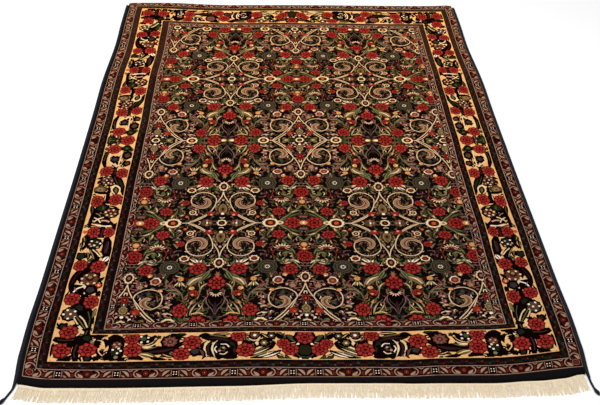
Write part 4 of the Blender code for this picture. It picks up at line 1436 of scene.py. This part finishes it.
def wrap_side(name, hand, tail):
    """The wrapped cord of one side with its tail."""
    middle = HALF_WIDTH - OVERCAST + CORD_WIDTH / 2
    anchors = []
    for y in np.arange(HALF_LENGTH - FAR_END, -HALF_LENGTH + FAR_END, -0.03):
        anchors.append((*lie(hand * middle, float(y)), OVERCAST, CORD_WIDTH))
    corner_x, corner_y = lie(hand * middle, -HALF_LENGTH)
    anchors += [(corner_x + hand * out, corner_y + along, size, size) for out, along, size in tail]
    route = np.array(smooth(anchors, 12))
    runs = np.hypot(*np.diff(route[:, :2], axis=0).T)
    reach = np.concatenate(([0.0], np.cumsum(runs)))
    sections = int(reach[-1] / WRAP_PITCH * WRAP_STEPS)
    at = np.linspace(0, reach[-1], sections)
    x, y, size, width = (np.interp(at, reach, route[:, column]) for column in range(4))
    run_x, run_y = np.gradient(x), np.gradient(y)
    run = np.hypot(run_x, run_y)
    angles = 2 * math.pi * (np.arange(WRAP_SIDES) + 0.5) / WRAP_SIDES
    phase = 2 * math.pi * at[:, None] / WRAP_PITCH + 0.6 * np.cos(angles)[None, :]
    puff = 1 - WRAP_DEPTH * (1 - np.abs(np.cos(phase / 2)))
    round_off = np.minimum(1.0, 0.55 + 0.45 * np.sqrt(np.minimum(at, at[-1] - at) / (0.5 * OVERCAST)))
    radius = (size * round_off / 2)[:, None] * puff
    sideways = (width * round_off / 2)[:, None] * puff * np.cos(angles)
    points = np.stack(
        (
            x[:, None] - sideways * (run_y / run)[:, None],
            y[:, None] + sideways * (run_x / run)[:, None],
            (size * round_off / 2)[:, None] + radius * np.sin(angles),
        ),
        axis=-1,
    ).reshape(-1, 3)
    faces = []
    for i in range(sections - 1):
        for side in range(WRAP_SIDES):
            after = (side + 1) % WRAP_SIDES
            first, second = i * WRAP_SIDES, (i + 1) * WRAP_SIDES
            faces.append((first + side, first + after, second + after, second + side))
    faces.append(tuple(range(WRAP_SIDES))[::-1])
    faces.append(tuple((sections - 1) * WRAP_SIDES + side for side in range(WRAP_SIDES)))
    solid = name.replace("wrapped", "overcast")
    return make_piece(name, points.tolist(), faces, goat_hair, solid, 80)


wrapped_sides = [wrap_side("wrapped_left", -1, LEFT_TAIL), wrap_side("wrapped_right", 1, RIGHT_TAIL)]


# ---------------------------------------------------------------- the near fringe
# The ends of the cotton warps, left in short undyed yarns past a narrow woven strip. They lie on
# the floor side by side, combed roughly straight.

FRINGE_LENGTH = 0.043
FRINGE_MARGIN = 0.003  # from the rug's corners to the first yarns
HEADING_DEPTH = 0.005
HEADING_THICKNESS = 0.003
YARNS = 1500
YARN_SIDES = 5
YARN_SECTIONS = 11
YARN_WIDTH = 0.0013
YARN_ROOT = 0.001  # how far each yarn starts inside the strip

# Undyed cotton: warm cream, matt, with darker streaks along the yarns.
cotton, tree, output = new_material("cotton_warp")
place = add(tree, "ShaderNodeTexCoord").outputs["Object"]
fibre = add(tree, "ShaderNodeMapping", {"Scale": (900.0, 120.0, 900.0)}, {"Vector": place})
streaks = {"Scale": 1.0, "Detail": 2.0}
streak = add(tree, "ShaderNodeTexNoise", streaks, {"Vector": fibre.outputs[0]}).outputs["Fac"]
soil = add(tree, "ShaderNodeTexNoise", {"Scale": 35.0, "Detail": 3.0}, {"Vector": place}).outputs["Fac"]
tone = between(tree, "#efdbb8", "#fff8e8", streak)
warmth = between(tree, "#f4e2c2", "#fffaf0", soil)
shade = add(
    tree,
    "ShaderNodeMix",
    {"data_type": "RGBA", "blend_type": "MULTIPLY", 0: 0.55},
    {6: tone, 7: warmth},
).outputs[2]
bump = add(tree, "ShaderNodeBump", {"Strength": 0.4, "Distance": 0.0003}, {"Height": streak})
finish_material(tree, output, {"Roughness": 0.9, "IOR": 1.53, "Sheen Weight": 0.1}, shade, bump)

edge_x, edge_y = lie(np.linspace(-PILE_HALF_WIDTH, PILE_HALF_WIDTH, 200), np.full(200, -HALF_LENGTH))
half_fringe = float(edge_x[-1]) - FRINGE_MARGIN


def front_of(x):
    """Where the strip's front edge lies."""
    return np.interp(x, edge_x, edge_y) - GAP - HEADING_DEPTH


draws = np.random.default_rng(11)
root_x = np.linspace(-half_fringe + 0.001, half_fringe - 0.001, YARNS)
side = root_x / half_fringe
lock = np.sin(root_x * 610) + 0.6 * np.sin(root_x * 1370 + 1.0)
length = FRINGE_LENGTH - HEADING_DEPTH + 0.0012 * np.sin(root_x * 240) + 0.0009 * draws.normal(size=YARNS)
length = length + 0.006 * ease((side - 0.7) / 0.3)
lean = 0.004 * side**3 - 0.005 * ease((-side - 0.9) / 0.1)
lean = lean + 0.0012 * lock + 0.0009 * draws.normal(size=YARNS)
crook = 0.0008 * draws.normal(size=YARNS)
level = draws.random(YARNS)
reach = np.linspace(0, 1, YARN_SECTIONS)[None, :]
x = root_x[:, None] + lean[:, None] * reach**1.3
x = x + crook[:, None] * np.sin(2 * math.pi * reach) + 0.00025 * np.sin(9 * reach + 40 * level[:, None])
y = front_of(root_x)[:, None] + YARN_ROOT - (length[:, None] + YARN_ROOT) * reach
z = 0.0007 + 0.0013 * level[:, None] * (1 - 0.5 * reach) + 0.0006 * np.sin(math.pi * reach) * level[:, None]
thin = YARN_WIDTH / 2 * (1 - 0.45 * reach**4) * (0.85 + 0.3 * level[:, None])
angles = 2 * math.pi * (np.arange(YARN_SIDES) + 0.5) / YARN_SIDES
twist = angles[None, None, :] + 8 * reach[:, :, None]
points = np.stack(
    (
        x[:, :, None] + thin[:, :, None] * np.cos(twist),
        np.broadcast_to(y[:, :, None], twist.shape[:0] + (YARNS, YARN_SECTIONS, YARN_SIDES)),
        np.maximum(0.0, z[:, :, None] + thin[:, :, None] * 0.8 * np.sin(twist)),
    ),
    axis=-1,
).reshape(-1, 3)
faces = []
for yarn in range(YARNS):
    first = yarn * YARN_SECTIONS * YARN_SIDES
    for section in range(YARN_SECTIONS - 1):
        a, b = first + section * YARN_SIDES, first + (section + 1) * YARN_SIDES
        faces += [
            (a + i, a + (i + 1) % YARN_SIDES, b + (i + 1) % YARN_SIDES, b + i) for i in range(YARN_SIDES)
        ]
    last = first + (YARN_SECTIONS - 1) * YARN_SIDES
    faces.append(tuple(first + i for i in range(YARN_SIDES))[::-1])
    faces.append(tuple(last + i for i in range(YARN_SIDES)))
fringe = make_piece("fringe_yarns", points.tolist(), faces, cotton, "fringe_near", 80)

# The narrow woven strip that the yarns leave, ribbed where the warps pass through it.
RIB_PITCH = 0.0012
ribs = int(2 * half_fringe / RIB_PITCH)
points, faces = [], []
SECTION = ((0.0, 0.0), (0.0, 0.6), (0.12, 1.0), (0.5, 0.95), (0.85, 0.8), (1.0, 0.45), (1.0, 0.0))
for i in range(2 * ribs + 1):
    x = -half_fringe + 2 * half_fringe * i / (2 * ribs)
    swell = 1.0 if i % 2 else 0.86
    back = float(np.interp(x, edge_x, edge_y)) - GAP
    for depth, rise in SECTION:
        points.append((x, back - HEADING_DEPTH * depth, HEADING_THICKNESS * rise * swell))
size = len(SECTION)
for i in range(2 * ribs):
    a, b = i * size, (i + 1) * size
    faces += [(a + j, b + j, b + (j + 1) % size, a + (j + 1) % size) for j in range(size)]
faces.append(tuple(range(size)))
faces.append(tuple(2 * ribs * size + j for j in range(size))[::-1])
heading = make_piece("fringe_heading", points, faces, cotton, "fringe_near", 80)


# ---------------------------------------------------------------- the floor and the light
# A plain pale floor under one broad soft light from above and the near side, with even fill.

FLOOR_SIZE = 16
FLOOR_PLACE = (0, 2, -0.0003)  # just below the rug, so that the two don't touch
FILL_STRENGTH = 0.45
KEY_POWER = 138
KEY_SIZE = (4.0, 3.0)
KEY_PLACE = (-0.7, -0.3, 3.6)
KEY_TILT = (12, -14)  # degrees

floor_paint, tree, output = new_material("pale_floor")
shader = add(tree, "ShaderNodeBsdfPrincipled", {"Base Color": linear("#ffffff"), "Roughness": 0.9})
tree.links.new(shader.outputs[0], output.inputs[0])
bpy.ops.mesh.primitive_plane_add(size=FLOOR_SIZE, location=FLOOR_PLACE)
floor = bpy.context.object
floor.name = "floor"
floor.data.materials.append(floor_paint)

world = bpy.data.worlds.new("even_fill")
world.use_nodes = True
world.node_tree.nodes["Background"].inputs["Color"].default_value = (1.0, 1.0, 1.0, 1.0)
world.node_tree.nodes["Background"].inputs["Strength"].default_value = FILL_STRENGTH
bpy.context.scene.world = world

key_light = bpy.data.lights.new("soft_light", "AREA")
key_light.shape = "RECTANGLE"
key_light.size, key_light.size_y = KEY_SIZE
key_light.energy = KEY_POWER
key = bpy.data.objects.new("soft_light", key_light)
key.location = KEY_PLACE
key.rotation_euler = (math.radians(KEY_TILT[0]), math.radians(KEY_TILT[1]), 0)
bpy.context.collection.objects.link(key)
